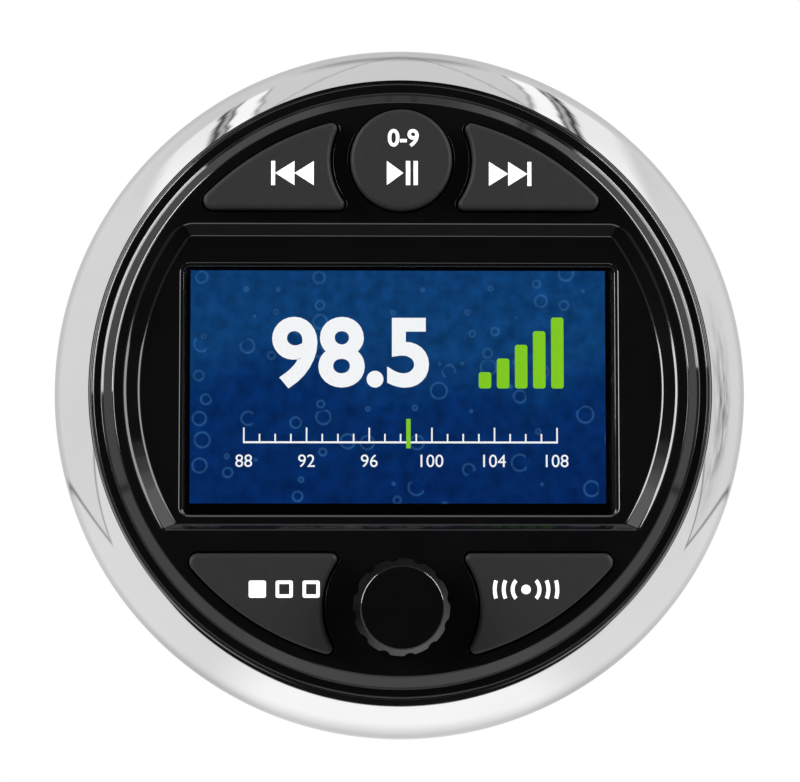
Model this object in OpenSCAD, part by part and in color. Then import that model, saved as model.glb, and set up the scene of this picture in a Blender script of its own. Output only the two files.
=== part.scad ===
// Round marine stereo that mounts through a gauge hole in a dash panel.
// Pieces are drawn with x to the right, y up and z out of the face, from the panel surface at z = 0.
// stand_up() then turns them so that the face looks along -Y, +Z is up and the barrel runs along +Y.

/* [Trim ring] */
// Outer diameter of the trim ring
ring_d = 112; // [112:0.5:122]
// Width of the ring as seen from the front
ring_w = 7; // [6.6:0.1:7.2]
// Height of the ring's front edge above the panel
ring_h = 10.5; // [10:0.1:14]
// Wall of the ring's front skin
ring_wall = 1.6; // [1.2:0.1:2]
// Thickness of the ring's outer skirt
ring_skirt = 2.4; // [2:0.1:2.8]
// Height of the ring's straight outer edge
ring_edge = 1.5; // [1:0.1:2.5]
// Angle that the ring's rounded front turns through
ring_turn = 62; // [55:1:75]
// Gap between the ring's rear edge and the panel
ring_lift = 0.5; // [0.3:0.1:1]

/* [Bezel] */
// Width of the flat ledge inside the ring
ledge_w = 1.75; // [1.4:0.05:2.2]
// Step from the ring's edge up to the ledge
lip_step = 0.4; // [0.2:0.1:0.8]
// Radial run of the slope between ledge and face
slope_w = 1.7; // [1.2:0.1:2.2]
// Rise of the slope between ledge and face
slope_h = 2.3; // [1.8:0.1:3]
// Radius that rounds the top of the slope
slope_round = 0.9; // [0.5:0.1:1.2]
// Radius that blends the foot of the slope and the lip
foot_round = 0.5; // [0.3:0.1:0.6]
// Front wall over the buttons
face_wall = 2.2; // [1.8:0.1:2.6]
// Side wall of the bezel
bezel_wall = 3; // [2.8:0.1:3.2]
// Thickness of the flange under the trim ring
flange_t = 3.5; // [3.2:0.1:4]

/* [Screen pocket] */
// Depth of the pocket below the face
pocket_depth = 1.2; // [1:0.1:1.6]
// Upper edge of the pocket above the axis
pocket_top = 26.1; // [25.8:0.1:26.4]
// Lower edge of the pocket below the axis
pocket_bottom = 22.5; // [22.2:0.1:23]
// Rim between the slope and the pocket's round sides
pocket_rim = 1.7; // [1.4:0.1:2.2]
// Run of the pocket's round side walls
side_bevel = 2.45; // [1.8:0.05:2.6]
// Run of the pocket's upper wall
top_bevel = 1.8; // [1.4:0.1:2]
// Run of the pocket's lower wall
bottom_bevel = 1; // [0.8:0.1:1.4]
// Radius of the pocket's upper corners
pocket_corner = 4; // [3:0.1:5]
// Thickness of the pocket's floor
floor_t = 2.8; // [2.4:0.1:3.2]

/* [Display] */
// Width of the window opening
window_w = 70; // [68:0.5:71]
// Height of the window opening
window_h = 40; // [38.5:0.5:40.5]
// Corner radius of the window opening
window_corner = 1.6; // [1:0.1:3]
// Chamfer round the window opening
window_chamfer = 0.5; // [0.3:0.1:0.6]
// Thickness of the clear window
lens_t = 1.5; // [1:0.1:2]
// Overlap of the window behind the opening's edge
lens_lap = 0.9; // [0.6:0.1:0.9]
// Thickness of the adhesive frame
tape_t = 0.3; // [0.2:0.05:0.5]
// Width of the display panel
lcd_w = 71; // [69:0.5:71]
// Height of the display panel
lcd_h = 42.5; // [40.5:0.5:42.5]
// Height of the display's centre above the axis
lcd_rise = 0.8; // [0.4:0.1:1]
// Thickness of the display glass
lcd_t = 1.3; // [1:0.1:1.6]
// Thickness of the backlight tray
tray_t = 2.4; // [2:0.1:2.8]

/* [Buttons] */
// Height of the buttons above the face
key_proud = 1.6; // [1:0.1:2]
// Travel of the buttons
key_travel = 0.6; // [0.4:0.1:0.8]
// Clearance round the buttons
key_fit = 0.3; // [0.3:0.05:0.5]
// Rounding of the buttons' top edges
key_round = 0.7; // [0.4:0.1:0.9]
// Rim between the slope and the buttons' outer arc
key_rim = 2; // [1.9:0.05:2.8]
// Radius of the buttons' outer tips
key_tip = 1.4; // [1.2:0.1:1.8]
// Radius of the buttons' other corners
key_corner = 0.9; // [0.9:0.1:1.2]
// Radius of the play button
play_r = 8.05; // [7:0.05:8.6]
// Height of the play button's centre above the axis
play_y = 36.1; // [35.4:0.1:36.2]
// Gap between the play button and its neighbours
play_gap = 3.2; // [2.4:0.1:4]
// Straight edge of the upper side buttons above the axis
upper_edge = 28.2; // [28:0.1:29]
// Straight edge of the lower side buttons below the axis
lower_edge = 26.1; // [25.8:0.1:27]
// Radius of the lower buttons' hollow sides round the knob
knob_gap_r = 12.4; // [11:0.1:13]
// Place of the upper side switches
upper_switch = [16, 31.5];
// Place of the lower side switches
lower_switch = [16.5, -31];
// Width of a switch body
switch_w = 4.6; // [4:0.1:4.8]
// Height of a switch body
switch_h = 3.5; // [3:0.1:4]

/* [Knob] */
// Radius of the knob's foot
knob_r = 7.8; // [7.6:0.1:8.4]
// Radius of the knob's face
knob_face_r = 6.4; // [6:0.1:6.8]
// Height of the knob
knob_h = 10; // [9:0.1:14]
// Height of the knob's centre below the axis
knob_y = 34.5; // [34:0.1:35]
// Gap under the knob
knob_lift = 1; // [0.8:0.1:1.4]
// Number of grip grooves
grooves = 12; // [8:1:18]
// Radius of a grip groove
groove_r = 0.8; // [0.5:0.1:1]
// Depth of a grip groove
groove_depth = 0.45; // [0.3:0.05:0.6]
// Push travel of the knob
push_travel = 0.6; // [0.4:0.1:0.6]
// Radius of the knob's shaft
shaft_r = 3; // [2.5:0.1:3]
// Width of the encoder's body
encoder_w = 11; // [10:0.5:11.5]
// Height of the encoder's body
encoder_h = 6.5; // [6:0.1:7]

/* [Barrel] */
// Diameter of the barrel that passes the panel
barrel_d = 88; // [86:0.5:88]
// Length of the barrel behind the panel
barrel_len = 50; // [46:1:80]
// Wall of the barrel
barrel_wall = 2.2; // [1.8:0.1:2.4]
// Width of the barrel's front flange
barrel_flange_w = 5; // [4.8:0.1:5]
// Thickness of the barrel's front flange
barrel_flange_t = 1.7; // [1.5:0.1:2]
// Thickness of the panel gasket
gasket_t = 1.5; // [1:0.1:2]
// Thickness of the seal between barrel and bezel
seal_t = 0.5; // [0.3:0.1:0.6]

/* [Boards] */
// Thickness of both circuit boards
board_t = 1.6; // [1.2:0.1:2]
// Height of the main board above the rear cover
main_lift = 17; // [14:0.5:22]
// Place of the main board's pillars
pillar_place = [32, 13];
// Radius of the capacitors
capacitor_r = 5.5; // [4:0.5:6]
// Height of the capacitors
capacitor_h = 16; // [10:0.5:18]

/* [Rear] */
// Thickness of the rear cover
cover_t = 4; // [3:0.1:5]
// Height of the cooling fins
fin_h = 8; // [5:0.5:14]
// Thickness of a fin
fin_t = 1.6; // [1.2:0.1:2.2]
// Spacing of the fins
fin_pitch = 4.6; // [4:0.1:6]
// Diameter of the mounting studs
stud_d = 5; // [4:0.5:6]
// Distance between the mounting studs
stud_spacing = 60; // [58:0.5:62]
// Length of the studs behind the cover
stud_len = 30; // [15:1:50]
// Width of the wiring socket
socket_w = 26; // [22:0.5:28]
// Height of the wiring socket
socket_h = 12; // [11:0.5:13]
// Height of the wiring socket's centre below the axis
socket_y = 26; // [25:0.5:27]
// Radius of the antenna jack's bore
antenna_bore_r = 4.05; // [3.5:0.05:4.3]
// Depth of the antenna jack's bore
antenna_depth = 14; // [10:0.5:16]
// Radius of a signal jack's shell
jack_r = 4.15; // [4:0.05:4.5]

/* [Hidden] */
$fn = 96;

// Clearances
slip = 0.1;
thread_fit = 0.05;
bearing_fit = 0.05;
rest_gap = 0.1;
moving_gap = 0.35;
past = 1;

// Levels along the axis, from the panel outwards
seat_z = gasket_t;
flange_z = seat_z + flange_t;
shoulder_z = seat_z + barrel_flange_t + seal_t;
ledge_z = ring_h + lip_step;
face_z = ledge_z + slope_h;
inner_z = face_z - face_wall;
floor_z = face_z - pocket_depth;
back_z = floor_z - floor_t;
lens_z = back_z - tape_t - lens_t;
lcd_gap = 0.2;
glass_z = lens_z - lcd_gap - lcd_t;
tray_z = glass_z - tray_t;
board_z = 0;
board_back_z = board_z - board_t;

// Radii of the face
ring_r = ring_d / 2;
ring_in_r = ring_r - ring_w;
ring_skirt_r = ring_r - ring_skirt;
bezel_r = ring_in_r - slip;
bezel_flange_r = ring_skirt_r - slip;
slope_foot_r = bezel_r - ledge_w;
slope_top_r = slope_foot_r - slope_w;
slope_angle = atan2(slope_h, slope_w);
pocket_r = slope_top_r - pocket_rim;
pocket_floor_r = pocket_r - side_bevel;
key_r = slope_top_r - key_rim;
barrel_r = barrel_d / 2;
barrel_flange_r = barrel_r + barrel_flange_w;
seat_lap = 2.8;
cavity_r = min(bezel_r - bezel_wall, barrel_flange_r - seat_lap);

// Button chambers behind the face
key_flange_lap = 0.7;
key_flange_t = 1.1;
chamber_r = max(key_r, play_y + play_r + key_flange_lap) + key_fit;
chamber_top = min(upper_edge, play_y - play_r) - key_flange_lap - key_fit;
chamber_bottom = lower_edge - key_flange_lap - key_fit;
key_flange_z = inner_z - rest_gap - key_flange_t;
key_top_z = face_z + key_proud;
key_stem_r = 1.6;
plunger_r = 1.1;
plunger_reach = 1.7;
plunger_gap = 0.3;
plunger_top_z = board_z + switch_h + plunger_reach;
switch_bore_r = plunger_r + moving_gap;
switch_floor = 0.5;
boot_wall = 1;
boot_gap = 0.2;
boot_r = switch_w / sqrt(2) + boot_gap + boot_wall;
boot_rise = 2.2;
boot_h = switch_h + boot_rise;
mat_t = 0.8;
mat_gap = 0.5;
hollow_r = play_r + play_gap;

// Barrel and rear cover
barrel_in_r = barrel_r - barrel_wall;
barrel_screw_edge = 2.4;
barrel_screw_r = barrel_flange_r - barrel_screw_edge;
board_fit = 0.5;
board_r = barrel_in_r - board_fit;
seal_edge = 0.2;
cover_step = 1;
cover_r = barrel_r - cover_step;
cover_seal_t = 0.8;
cover_z = -barrel_len - cover_seal_t;
cover_back_z = cover_z - cover_t;
spigot_fit = 0.3;
spigot_r = barrel_in_r - spigot_fit;
spigot_wall = 2.5;
spigot_h = 3;
cover_screw_r = 1.5;
cover_boss_r = 3.4;
cover_boss_h = 10;
cover_boss_sink = 0.2;
cover_screw_at = barrel_in_r - cover_boss_r + cover_boss_sink;
cover_screw_grip = 7;
cover_screw_head = [2.7, 1.8];
main_z = cover_z + main_lift;
main_front_z = main_z + board_t;
quarters = [45, 135, 225, 315];

// Posts for the front board, above and below the display
post_r = 1.9;
post_screw_r = 0.9;
post_x = 26.5;
post_gap = 0.15;
lens_w = window_w + 2 * lens_lap;
lens_h = window_h + 2 * lens_lap;
post_top_y = max(lcd_rise + lcd_h / 2, lens_h / 2) + post_r + post_gap;
post_bottom_y = min(lcd_rise - lcd_h / 2, -lens_h / 2) - post_r - post_gap;
post_places = [
    [-post_x, post_top_y], [post_x, post_top_y],
    [-post_x, post_bottom_y], [post_x, post_bottom_y]
];

// Knob and the encoder under it
knob_place = [0, -knob_y];
knob_foot = 1.2;
groove_start = 9.6;
knob_z = face_z + knob_lift;
knob_top_z = knob_z + knob_h;
bushing_wall = 0.6;
bushing_r = shaft_r + bushing_wall;
washer_t = 0.8;
nut_t = 2;
nut_flats = 10;
nut_z = face_z + washer_t;
bushing_z = nut_z + nut_t;
nut_gap = 0.5;
knob_cavity_r = nut_flats / sqrt(3) + nut_gap;
hub_gap = 0.4;
hub_z = bushing_z + push_travel + hub_gap;
shaft_lift = 4.2;
shaft_foot_z = board_z + shaft_lift;
knob_cap = 2;
shaft_top_z = knob_top_z - knob_cap;
flat_depth = 1;
plunger_lift = 1.8;
plunger_foot_z = board_z + plunger_lift;
encoder_plunger_r = shaft_r - plunger_gap;

// Amplifier chip on the rear cover
chip_size = [29, 16, 4.8];
chip_y = 22;
clamp_screw_x = 19;
clamp_t = 2;
clamp_screw_r = 1.5;
clamp_screw_head = [2.8, 1.8];
clamp_screw_grip = 1;

// Sockets at the rear
stud_x = stud_spacing / 2;
stud_shank_r = stud_d / 2 + 0.5;
stud_head_r = 5;
stud_head_t = 1.5;
antenna_place = [-15, -6];
antenna_wall = 1.5;
antenna_cap = 0.5;
jack_places = [[4, -6], [17, -6]];
jack_flange_t = 1.5;
socket_place = [0, -socket_y];
socket_wall = 1.5;
socket_reach = 8;
socket_base = 3;
pin_w = 0.8;
pin_pitch = 2.6;
pin_reach = 4.5;

// Ribbon between the boards
ribbon_w = 20;
ribbon_t = 0.3;
ribbon_y = -12;
ribbon_r = 20;
ribbon_socket = [22, 5, 3];

function arc(centre, r, from, to, steps) = [
    for (i = [0:steps])
        let (a = from + (to - from) * i / steps)
        centre + r * [cos(a), sin(a)]
];

// The same arc without its two ends, for a stretch between corners that have them.
function open_arc(centre, r, from, to, steps) = [
    for (i = [1:steps - 1])
        let (a = from + (to - from) * i / steps)
        centre + r * [cos(a), sin(a)]
];

function ellipse_arc(centre, rx, ry, from, to, steps) = [
    for (i = [0:steps])
        let (a = from + (to - from) * i / steps)
        centre + [rx * cos(a), ry * sin(a)]
];

function heading(v) = atan2(v[1], v[0]);

// Outline of a side button to the right of a round neighbour whose centre is hub_y up the axis.
// The outer arc, the straight edge and the hollow side all move in by inset. Corners keep their centres.
function side_key_outline(edge, hub_y, hollow, inset, foot_lap = 0) =
    let (
        tip = [sqrt(pow(key_r - key_tip, 2) - pow(edge + key_tip, 2)), edge + key_tip],
        far = key_r - key_corner,
        near = hollow + key_corner,
        upper_y = (far * far - near * near + hub_y * hub_y) / (2 * hub_y),
        upper = [sqrt(far * far - upper_y * upper_y), upper_y],
        lower = [sqrt(near * near - pow(edge + key_corner - hub_y, 2)), edge + key_corner],
        hub = [0, hub_y],
        hollow_from = heading(upper - hub),
        hollow_to = heading(lower - hub),
        drop = [0, -foot_lap]
    )
    concat(
        arc(tip + drop, key_tip - inset, -90, heading(tip), 5),
        open_arc([0, 0], key_r - inset, heading(tip), heading(upper), 12),
        arc(upper, key_corner - inset, heading(upper), 180 + hollow_from, 5),
        open_arc(hub, hollow + inset, hollow_from, hollow_to, 10),
        arc(lower + drop, key_corner - inset, 180 + hollow_to, 270, 5)
    );

function upper_key_outline(inset, foot_lap = 0) =
    side_key_outline(upper_edge, play_y, hollow_r, inset, foot_lap);

function lower_key_outline(inset, foot_lap = 0) =
    side_key_outline(lower_edge, knob_y, knob_gap_r, inset, foot_lap);

// Turns a piece from the drawing frame into the part's frame.
module stand_up() {
    rotate([90, 0, 0]) children();
}

module at(place, z = 0) {
    translate([place[0], place[1], z]) children();
}

module round_rect(w, h, r) {
    square([w - 2 * r, h], center = true);
    square([w, h - 2 * r], center = true);
    for (sx = [-1, 1], sy = [-1, 1])
        translate([sx * (w / 2 - r), sy * (h / 2 - r)]) circle(r);
}

module tube(outer, inner, z0, z1) {
    translate([0, 0, z0]) difference() {
        cylinder(r = outer, h = z1 - z0);
        translate([0, 0, -past]) cylinder(r = inner, h = z1 - z0 + 2 * past);
    }
}

module drum(r, z0, z1) {
    translate([0, 0, z0]) cylinder(r = r, h = z1 - z0);
}

module on_quarters(r) {
    for (a = quarters) translate([r * cos(a), r * sin(a), 0]) children();
}

// Trim ring

ring_rx = ring_w / (1 - cos(ring_turn));
ring_rz = (ring_h - ring_lift - ring_edge) / sin(ring_turn);
ring_centre = [ring_r - ring_rx, ring_lift + ring_edge];
hollow_rx = ring_rx - ring_skirt;
hollow_rz = ring_rz - ring_wall;
ring_hollow_from = acos((ring_in_r + ring_wall - ring_centre[0]) / hollow_rx);
ring_hollow_to = asin((flange_z - ring_centre[1]) / hollow_rz);
ring_profile = concat(
    [[ring_skirt_r, ring_lift], [ring_r, ring_lift]],
    ellipse_arc(ring_centre, ring_rx, ring_rz, 0, ring_turn, 14),
    [[ring_in_r, flange_z], [ring_in_r + ring_wall, flange_z]],
    ellipse_arc(ring_centre, hollow_rx, hollow_rz, ring_hollow_from, ring_hollow_to, 8),
    [[ring_skirt_r, flange_z]]
);

module trim_ring() {
    color("silver") stand_up() rotate_extrude() polygon(ring_profile);
}

// Bezel

slope_setback = slope_round * tan(slope_angle / 2);
foot_setback = foot_round * tan(slope_angle / 2);
bezel_profile = concat(
    [[0, seat_z], [bezel_flange_r, seat_z], [bezel_flange_r, flange_z], [bezel_r, flange_z]],
    arc([bezel_r - foot_round, ledge_z - foot_round], foot_round, 0, 90, 4),
    arc([slope_foot_r + foot_setback, ledge_z + foot_round], foot_round, 270, 270 - slope_angle, 4),
    arc([slope_top_r - slope_setback, face_z - slope_round], slope_round, 90 - slope_angle, 90, 5),
    [[0, face_z]]
);

// Screen pocket: a dish whose round sides are cut off by sloping straight walls at top and bottom.
// Its upper corners are rounded by cones that meet both walls at the face.
module pocket() {
    rise = pocket_depth + past;
    side_run = side_bevel * rise / pocket_depth;
    top_run = top_bevel * rise / pocket_depth;
    bottom_run = bottom_bevel * rise / pocket_depth;
    top = pocket_top - top_bevel;
    bottom = pocket_bottom - bottom_bevel;
    difference() {
        intersection() {
            translate([0, 0, floor_z])
                cylinder(r1 = pocket_floor_r, r2 = pocket_floor_r + side_run, h = rise);
            translate([-ring_r, 0, 0]) rotate([90, 0, 90]) linear_extrude(ring_d)
                polygon([
                    [-bottom, floor_z], [top, floor_z],
                    [top + top_run, floor_z + rise], [-bottom - bottom_run, floor_z + rise]
                ]);
        }
        for (side = [0, 1]) mirror([side, 0, 0]) pocket_corner_filler(rise, side_run);
    }
}

module pocket_corner_filler(rise, side_run) {
    centre_y = pocket_top - pocket_corner;
    centre = [sqrt(pow(pocket_r - pocket_corner, 2) - pow(centre_y, 2)), centre_y];
    floor_corner = pocket_corner - side_bevel;
    difference() {
        translate([0, 0, floor_z - past]) linear_extrude(rise + 2 * past) polygon([
            centre, centre + [0, ring_r], centre + [ring_r, ring_r], centre + ring_r * centre / norm(centre)
        ]);
        at(centre, floor_z - past) cylinder(r = floor_corner, h = 2 * past);
        at(centre, floor_z) cylinder(r1 = floor_corner, r2 = floor_corner + side_run, h = rise);
        at(centre, floor_z + rise - slip) cylinder(r = floor_corner + side_run, h = 2 * past);
    }
}

// Rectangle with round corners that grows by run on every side over its depth.
module flared_rect(w, h, r, depth, run) {
    corner_x = w / 2 - r;
    corner_y = h / 2 - r;
    rotate([90, 0, 90]) linear_extrude(2 * corner_x, center = true)
        polygon([[-h / 2, 0], [h / 2, 0], [h / 2 + run, depth], [-h / 2 - run, depth]]);
    rotate([90, 0, 0]) linear_extrude(2 * corner_y, center = true)
        polygon([[-w / 2, 0], [w / 2, 0], [w / 2 + run, depth], [-w / 2 - run, depth]]);
    for (sx = [-1, 1], sy = [-1, 1])
        translate([sx * corner_x, sy * corner_y, 0]) cylinder(r1 = r, r2 = r + run, h = depth);
}

module window_opening() {
    w = window_w - 2 * window_chamfer;
    h = window_h - 2 * window_chamfer;
    r = window_corner - window_chamfer;
    translate([0, 0, back_z - past]) linear_extrude(floor_t + past) round_rect(w, h, r);
    translate([0, 0, floor_z - window_chamfer])
        flared_rect(w, h, r, window_chamfer + past, window_chamfer + past);
}

module key_openings() {
    rise = face_wall + 2 * past;
    translate([0, 0, inner_z - past]) {
        translate([0, play_y, 0]) cylinder(r = play_r + key_fit, h = rise);
        for (side = [0, 1]) mirror([side, 0, 0]) {
            linear_extrude(rise) polygon(upper_key_outline(-key_fit));
            mirror([0, 1, 0]) linear_extrude(rise) polygon(lower_key_outline(-key_fit));
        }
    }
}

module chambers() {
    translate([0, 0, back_z - past]) linear_extrude(inner_z - back_z + past) intersection() {
        circle(chamber_r);
        union() {
            translate([-ring_r, chamber_top]) square([ring_d, ring_r]);
            translate([-ring_r, -chamber_bottom - ring_r]) square([ring_d, ring_r]);
        }
    }
}

barrel_boss_r = 2.2;
barrel_screw_hole_r = 1.25;
barrel_hole_cap = 0.4;
barrel_screw_cap = 1;
post_hole_cap = 2;

module bezel() {
    color([0.03, 0.03, 0.035]) stand_up() difference() {
        union() {
            difference() {
                rotate_extrude() polygon(bezel_profile);
                drum(barrel_flange_r + slip, seat_z - past, shoulder_z);
                drum(cavity_r, shoulder_z - past, back_z);
                chambers();
            }
            intersection() {
                on_quarters(barrel_screw_r) drum(barrel_boss_r, shoulder_z, back_z);
                drum(bezel_r - slip, shoulder_z, back_z);
            }
            for (p = post_places) at(p) drum(post_r, board_z, back_z + slip);
        }
        pocket();
        window_opening();
        key_openings();
        at(knob_place) drum(bushing_r + slip, inner_z - past, face_z + past);
        on_quarters(barrel_screw_r)
            drum(barrel_screw_hole_r + thread_fit, shoulder_z - past, back_z - barrel_hole_cap);
        for (p = post_places) at(p) drum(post_screw_r + thread_fit, board_z - past, back_z - post_hole_cap);
    }
}

// Display stack

module window_tape() {
    color([0.1, 0.1, 0.1]) stand_up() translate([0, 0, back_z - tape_t]) linear_extrude(tape_t) difference() {
        round_rect(lens_w, lens_h, window_corner + lens_lap);
        round_rect(window_w, window_h, window_corner);
    }
}

module display_window() {
    color([0.6, 0.7, 0.8, 0.4]) stand_up() translate([0, 0, lens_z]) linear_extrude(lens_t)
        round_rect(lens_w, lens_h, window_corner + lens_lap);
}

module lcd_panel() {
    color([0.08, 0.25, 0.5]) stand_up() translate([0, lcd_rise, glass_z]) linear_extrude(lcd_t)
        square([lcd_w, lcd_h], center = true);
}

module backlight_tray() {
    color("gainsboro") stand_up() translate([0, lcd_rise, tray_z]) linear_extrude(tray_t)
        square([lcd_w, lcd_h], center = true);
}

holder_wall = 2;
holder_end = 6;

module lcd_holder() {
    color([0.9, 0.9, 0.88]) stand_up() translate([0, 0, board_z]) linear_extrude(tray_z - board_z)
        difference() {
            intersection() {
                translate([0, lcd_rise]) square([lcd_w, lcd_h], center = true);
                circle(board_r - slip);
            }
            translate([0, lcd_rise])
                round_rect(lcd_w - 2 * holder_end, lcd_h - 2 * holder_wall, window_corner);
        }
}

// Buttons

// Lofts a stack of outlines, given as [inset, height] pairs, into a closed solid.
module key_loft(rings) {
    n = len(rings[0]);
    last = len(rings) - 1;
    points = [for (ring = rings) each ring];
    sides = [
        for (k = [0:last - 1], i = [0:n - 1])
            let (j = (i + 1) % n)
            [k * n + i, (k + 1) * n + i, (k + 1) * n + j, k * n + j]
    ];
    foot = [for (i = [0:n - 1]) i];
    top = [for (i = [n - 1:-1:0]) last * n + i];
    polyhedron(points, concat(sides, [foot], [top]), convexity = 6);
}

key_round_steps = 4;
key_levels = concat(
    [[0, key_flange_z + key_flange_t]],
    [
        for (i = [0:key_round_steps])
            let (a = 90 * i / key_round_steps)
            [key_round * (1 - cos(a)), key_top_z - key_round * (1 - sin(a))]
    ]
);

module key_stem(place) {
    at(place) drum(key_stem_r, plunger_top_z, key_flange_z + slip);
}

module upper_side_button() {
    key_loft([for (l = key_levels) [for (p = upper_key_outline(l[0])) [p[0], p[1], l[1]]]]);
    translate([0, 0, key_flange_z]) linear_extrude(key_flange_t)
        polygon(upper_key_outline(0, key_flange_lap));
    key_stem(upper_switch);
}

module lower_side_button() {
    mirror([0, 1, 0]) {
        key_loft([for (l = key_levels) [for (p = lower_key_outline(l[0])) [p[0], p[1], l[1]]]]);
        translate([0, 0, key_flange_z]) linear_extrude(key_flange_t)
            polygon(lower_key_outline(0, key_flange_lap));
    }
    key_stem(lower_switch);
}

module previous_button() {
    color([0.2, 0.2, 0.21]) stand_up() mirror([1, 0, 0]) upper_side_button();
}

module next_button() {
    color([0.2, 0.2, 0.21]) stand_up() upper_side_button();
}

module mode_button() {
    color([0.2, 0.2, 0.21]) stand_up() mirror([1, 0, 0]) lower_side_button();
}

module band_button() {
    color([0.2, 0.2, 0.21]) stand_up() lower_side_button();
}

play_profile = concat(
    [[0, key_flange_z], [play_r + key_flange_lap, key_flange_z]],
    [[play_r + key_flange_lap, key_flange_z + key_flange_t], [play_r, key_flange_z + key_flange_t]],
    arc([play_r - key_round, key_top_z - key_round], key_round, 0, 90, key_round_steps),
    [[0, key_top_z]]
);

module play_button() {
    color([0.2, 0.2, 0.21]) stand_up() translate([0, play_y, 0]) {
        rotate_extrude() polygon(play_profile);
        key_stem([0, 0]);
    }
}

module plunger(place) {
    color("ivory") stand_up() at(place)
        drum(plunger_r, board_z + switch_floor + key_travel + plunger_gap, plunger_top_z);
}

module previous_plunger() {
    plunger([-upper_switch[0], upper_switch[1]]);
}

module play_plunger() {
    plunger([0, play_y]);
}

module next_plunger() {
    plunger(upper_switch);
}

module mode_plunger() {
    plunger([-lower_switch[0], lower_switch[1]]);
}

module band_plunger() {
    plunger(lower_switch);
}

switch_places = [
    [-upper_switch[0], upper_switch[1]], upper_switch, [0, play_y],
    [-lower_switch[0], lower_switch[1]], lower_switch
];

module switch_bodies() {
    color("dimgray") stand_up() for (p = switch_places) at(p, board_z) difference() {
        linear_extrude(switch_h) square(switch_w, center = true);
        drum(switch_bore_r, switch_floor, switch_h + past);
    }
}

// Silicone mats above and below the display, with a boot over each switch.
module keypad_mats() {
    color([0.12, 0.12, 0.13]) stand_up() difference() {
        union() {
            linear_extrude(mat_t) difference() {
                circle(board_r - slip);
                translate([0, lcd_rise]) square([2 * ring_d, lcd_h + 2 * mat_gap], center = true);
                translate(knob_place) square(encoder_w + 2 * mat_gap, center = true);
                for (p = post_places) translate(p) circle(post_r + mat_gap);
            }
            for (p = switch_places) at(p, board_z) drum(boot_r, 0, boot_h);
        }
        for (p = switch_places) at(p, board_z) {
            drum(boot_r - boot_wall, -past, boot_h - boot_wall);
            drum(key_stem_r + moving_gap, 0, boot_h + past);
        }
    }
}

// Knob and encoder

module knob_outer() {
    edge = 0.8;
    crown = 0.3;
    chamfer = 0.3;
    face_edge_r = knob_face_r - edge;
    bow = [for (i = [0:4]) [face_edge_r * (1 - i / 4), knob_top_z - crown * pow(1 - i / 4, 2)]];
    rotate_extrude() polygon(concat(
        [[0, knob_z], [knob_r - chamfer, knob_z], [knob_r, knob_z + chamfer], [knob_r, knob_z + knob_foot]],
        open_arc([face_edge_r, knob_top_z - crown - edge], edge, 0, 90, 5),
        bow
    ));
}

module knob_grooves() {
    lean = atan2(knob_r - knob_face_r, knob_h - knob_foot);
    for (i = [0:grooves - 1])
        rotate([0, 0, groove_start + 360 * i / grooves])
            translate([knob_r + groove_r - groove_depth, 0, knob_z + knob_foot])
                rotate([0, -lean, 0])
                    translate([0, 0, -knob_h]) cylinder(r = groove_r, h = 2 * knob_h);
}

// The shaft with a flat on its upper end, grown by a clearance to make the knob's bore.
module flatted_shaft(grow, z0, z1) {
    difference() {
        drum(shaft_r + grow, z0, z1);
        translate([-shaft_r * 2, shaft_r - flat_depth + grow, hub_z])
            cube([shaft_r * 4, shaft_r * 2, knob_h * 2]);
    }
}

module volume_knob() {
    color([0.02, 0.02, 0.02]) stand_up() at(knob_place) difference() {
        knob_outer();
        knob_grooves();
        drum(knob_cavity_r, knob_z - past, hub_z);
        flatted_shaft(bearing_fit, hub_z - past, shaft_top_z + bearing_fit);
    }
}

module encoder_shaft() {
    color("silver") stand_up() at(knob_place) flatted_shaft(0, shaft_foot_z, shaft_top_z);
}

module encoder_plunger() {
    color("ivory") stand_up() at(knob_place) drum(encoder_plunger_r, plunger_foot_z, shaft_foot_z);
}

module encoder_body() {
    color("slategray") stand_up() at(knob_place) difference() {
        union() {
            translate([0, 0, board_z]) linear_extrude(encoder_h) square(encoder_w, center = true);
            drum(bushing_r, board_z + encoder_h - past, bushing_z);
        }
        drum(shaft_r + bearing_fit, plunger_foot_z - push_travel - plunger_gap, bushing_z + past);
    }
}

module encoder_washer() {
    color([0.15, 0.15, 0.15]) stand_up() at(knob_place)
        tube(knob_cavity_r - nut_gap, bushing_r + thread_fit, face_z, nut_z);
}

module encoder_nut() {
    color("silver") stand_up() at(knob_place) difference() {
        translate([0, 0, nut_z]) cylinder(r = nut_flats / sqrt(3), h = nut_t, $fn = 6);
        drum(bushing_r + thread_fit, nut_z - past, nut_z + nut_t + past);
    }
}

// Front board

module front_board() {
    color("darkgreen") stand_up() difference() {
        drum(board_r, board_back_z, board_z);
        for (p = post_places) at(p) drum(post_screw_r + slip, board_back_z - past, board_z + past);
    }
}

// Screw along +z from its seat at z = 0. The head is given as [radius, thickness].
module pan_screw(r, head, length) {
    drum(r, 0, length);
    drum(head[0], -head[1], 0);
}

post_screw_head = [1.8, 1.3];
post_screw_grip = 5.4;

module front_board_screws() {
    color("silver") stand_up() for (p = post_places) at(p, board_back_z)
        pan_screw(post_screw_r, post_screw_head, board_t + post_screw_grip);
}

controller_w = 14;
controller_t = 1.6;
controller_y = 12;

module controller_chip() {
    color([0.1, 0.1, 0.1]) stand_up() translate([0, controller_y, board_back_z - controller_t])
        linear_extrude(controller_t) square(controller_w, center = true);
}

// Barrel and its seals

gasket_rib = 1;
gasket_edge = 0.4;

module panel_gasket() {
    color([0.13, 0.13, 0.13]) stand_up()
        tube(bezel_flange_r - gasket_edge, barrel_r + gasket_rib + slip, 0, gasket_t);
}

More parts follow.
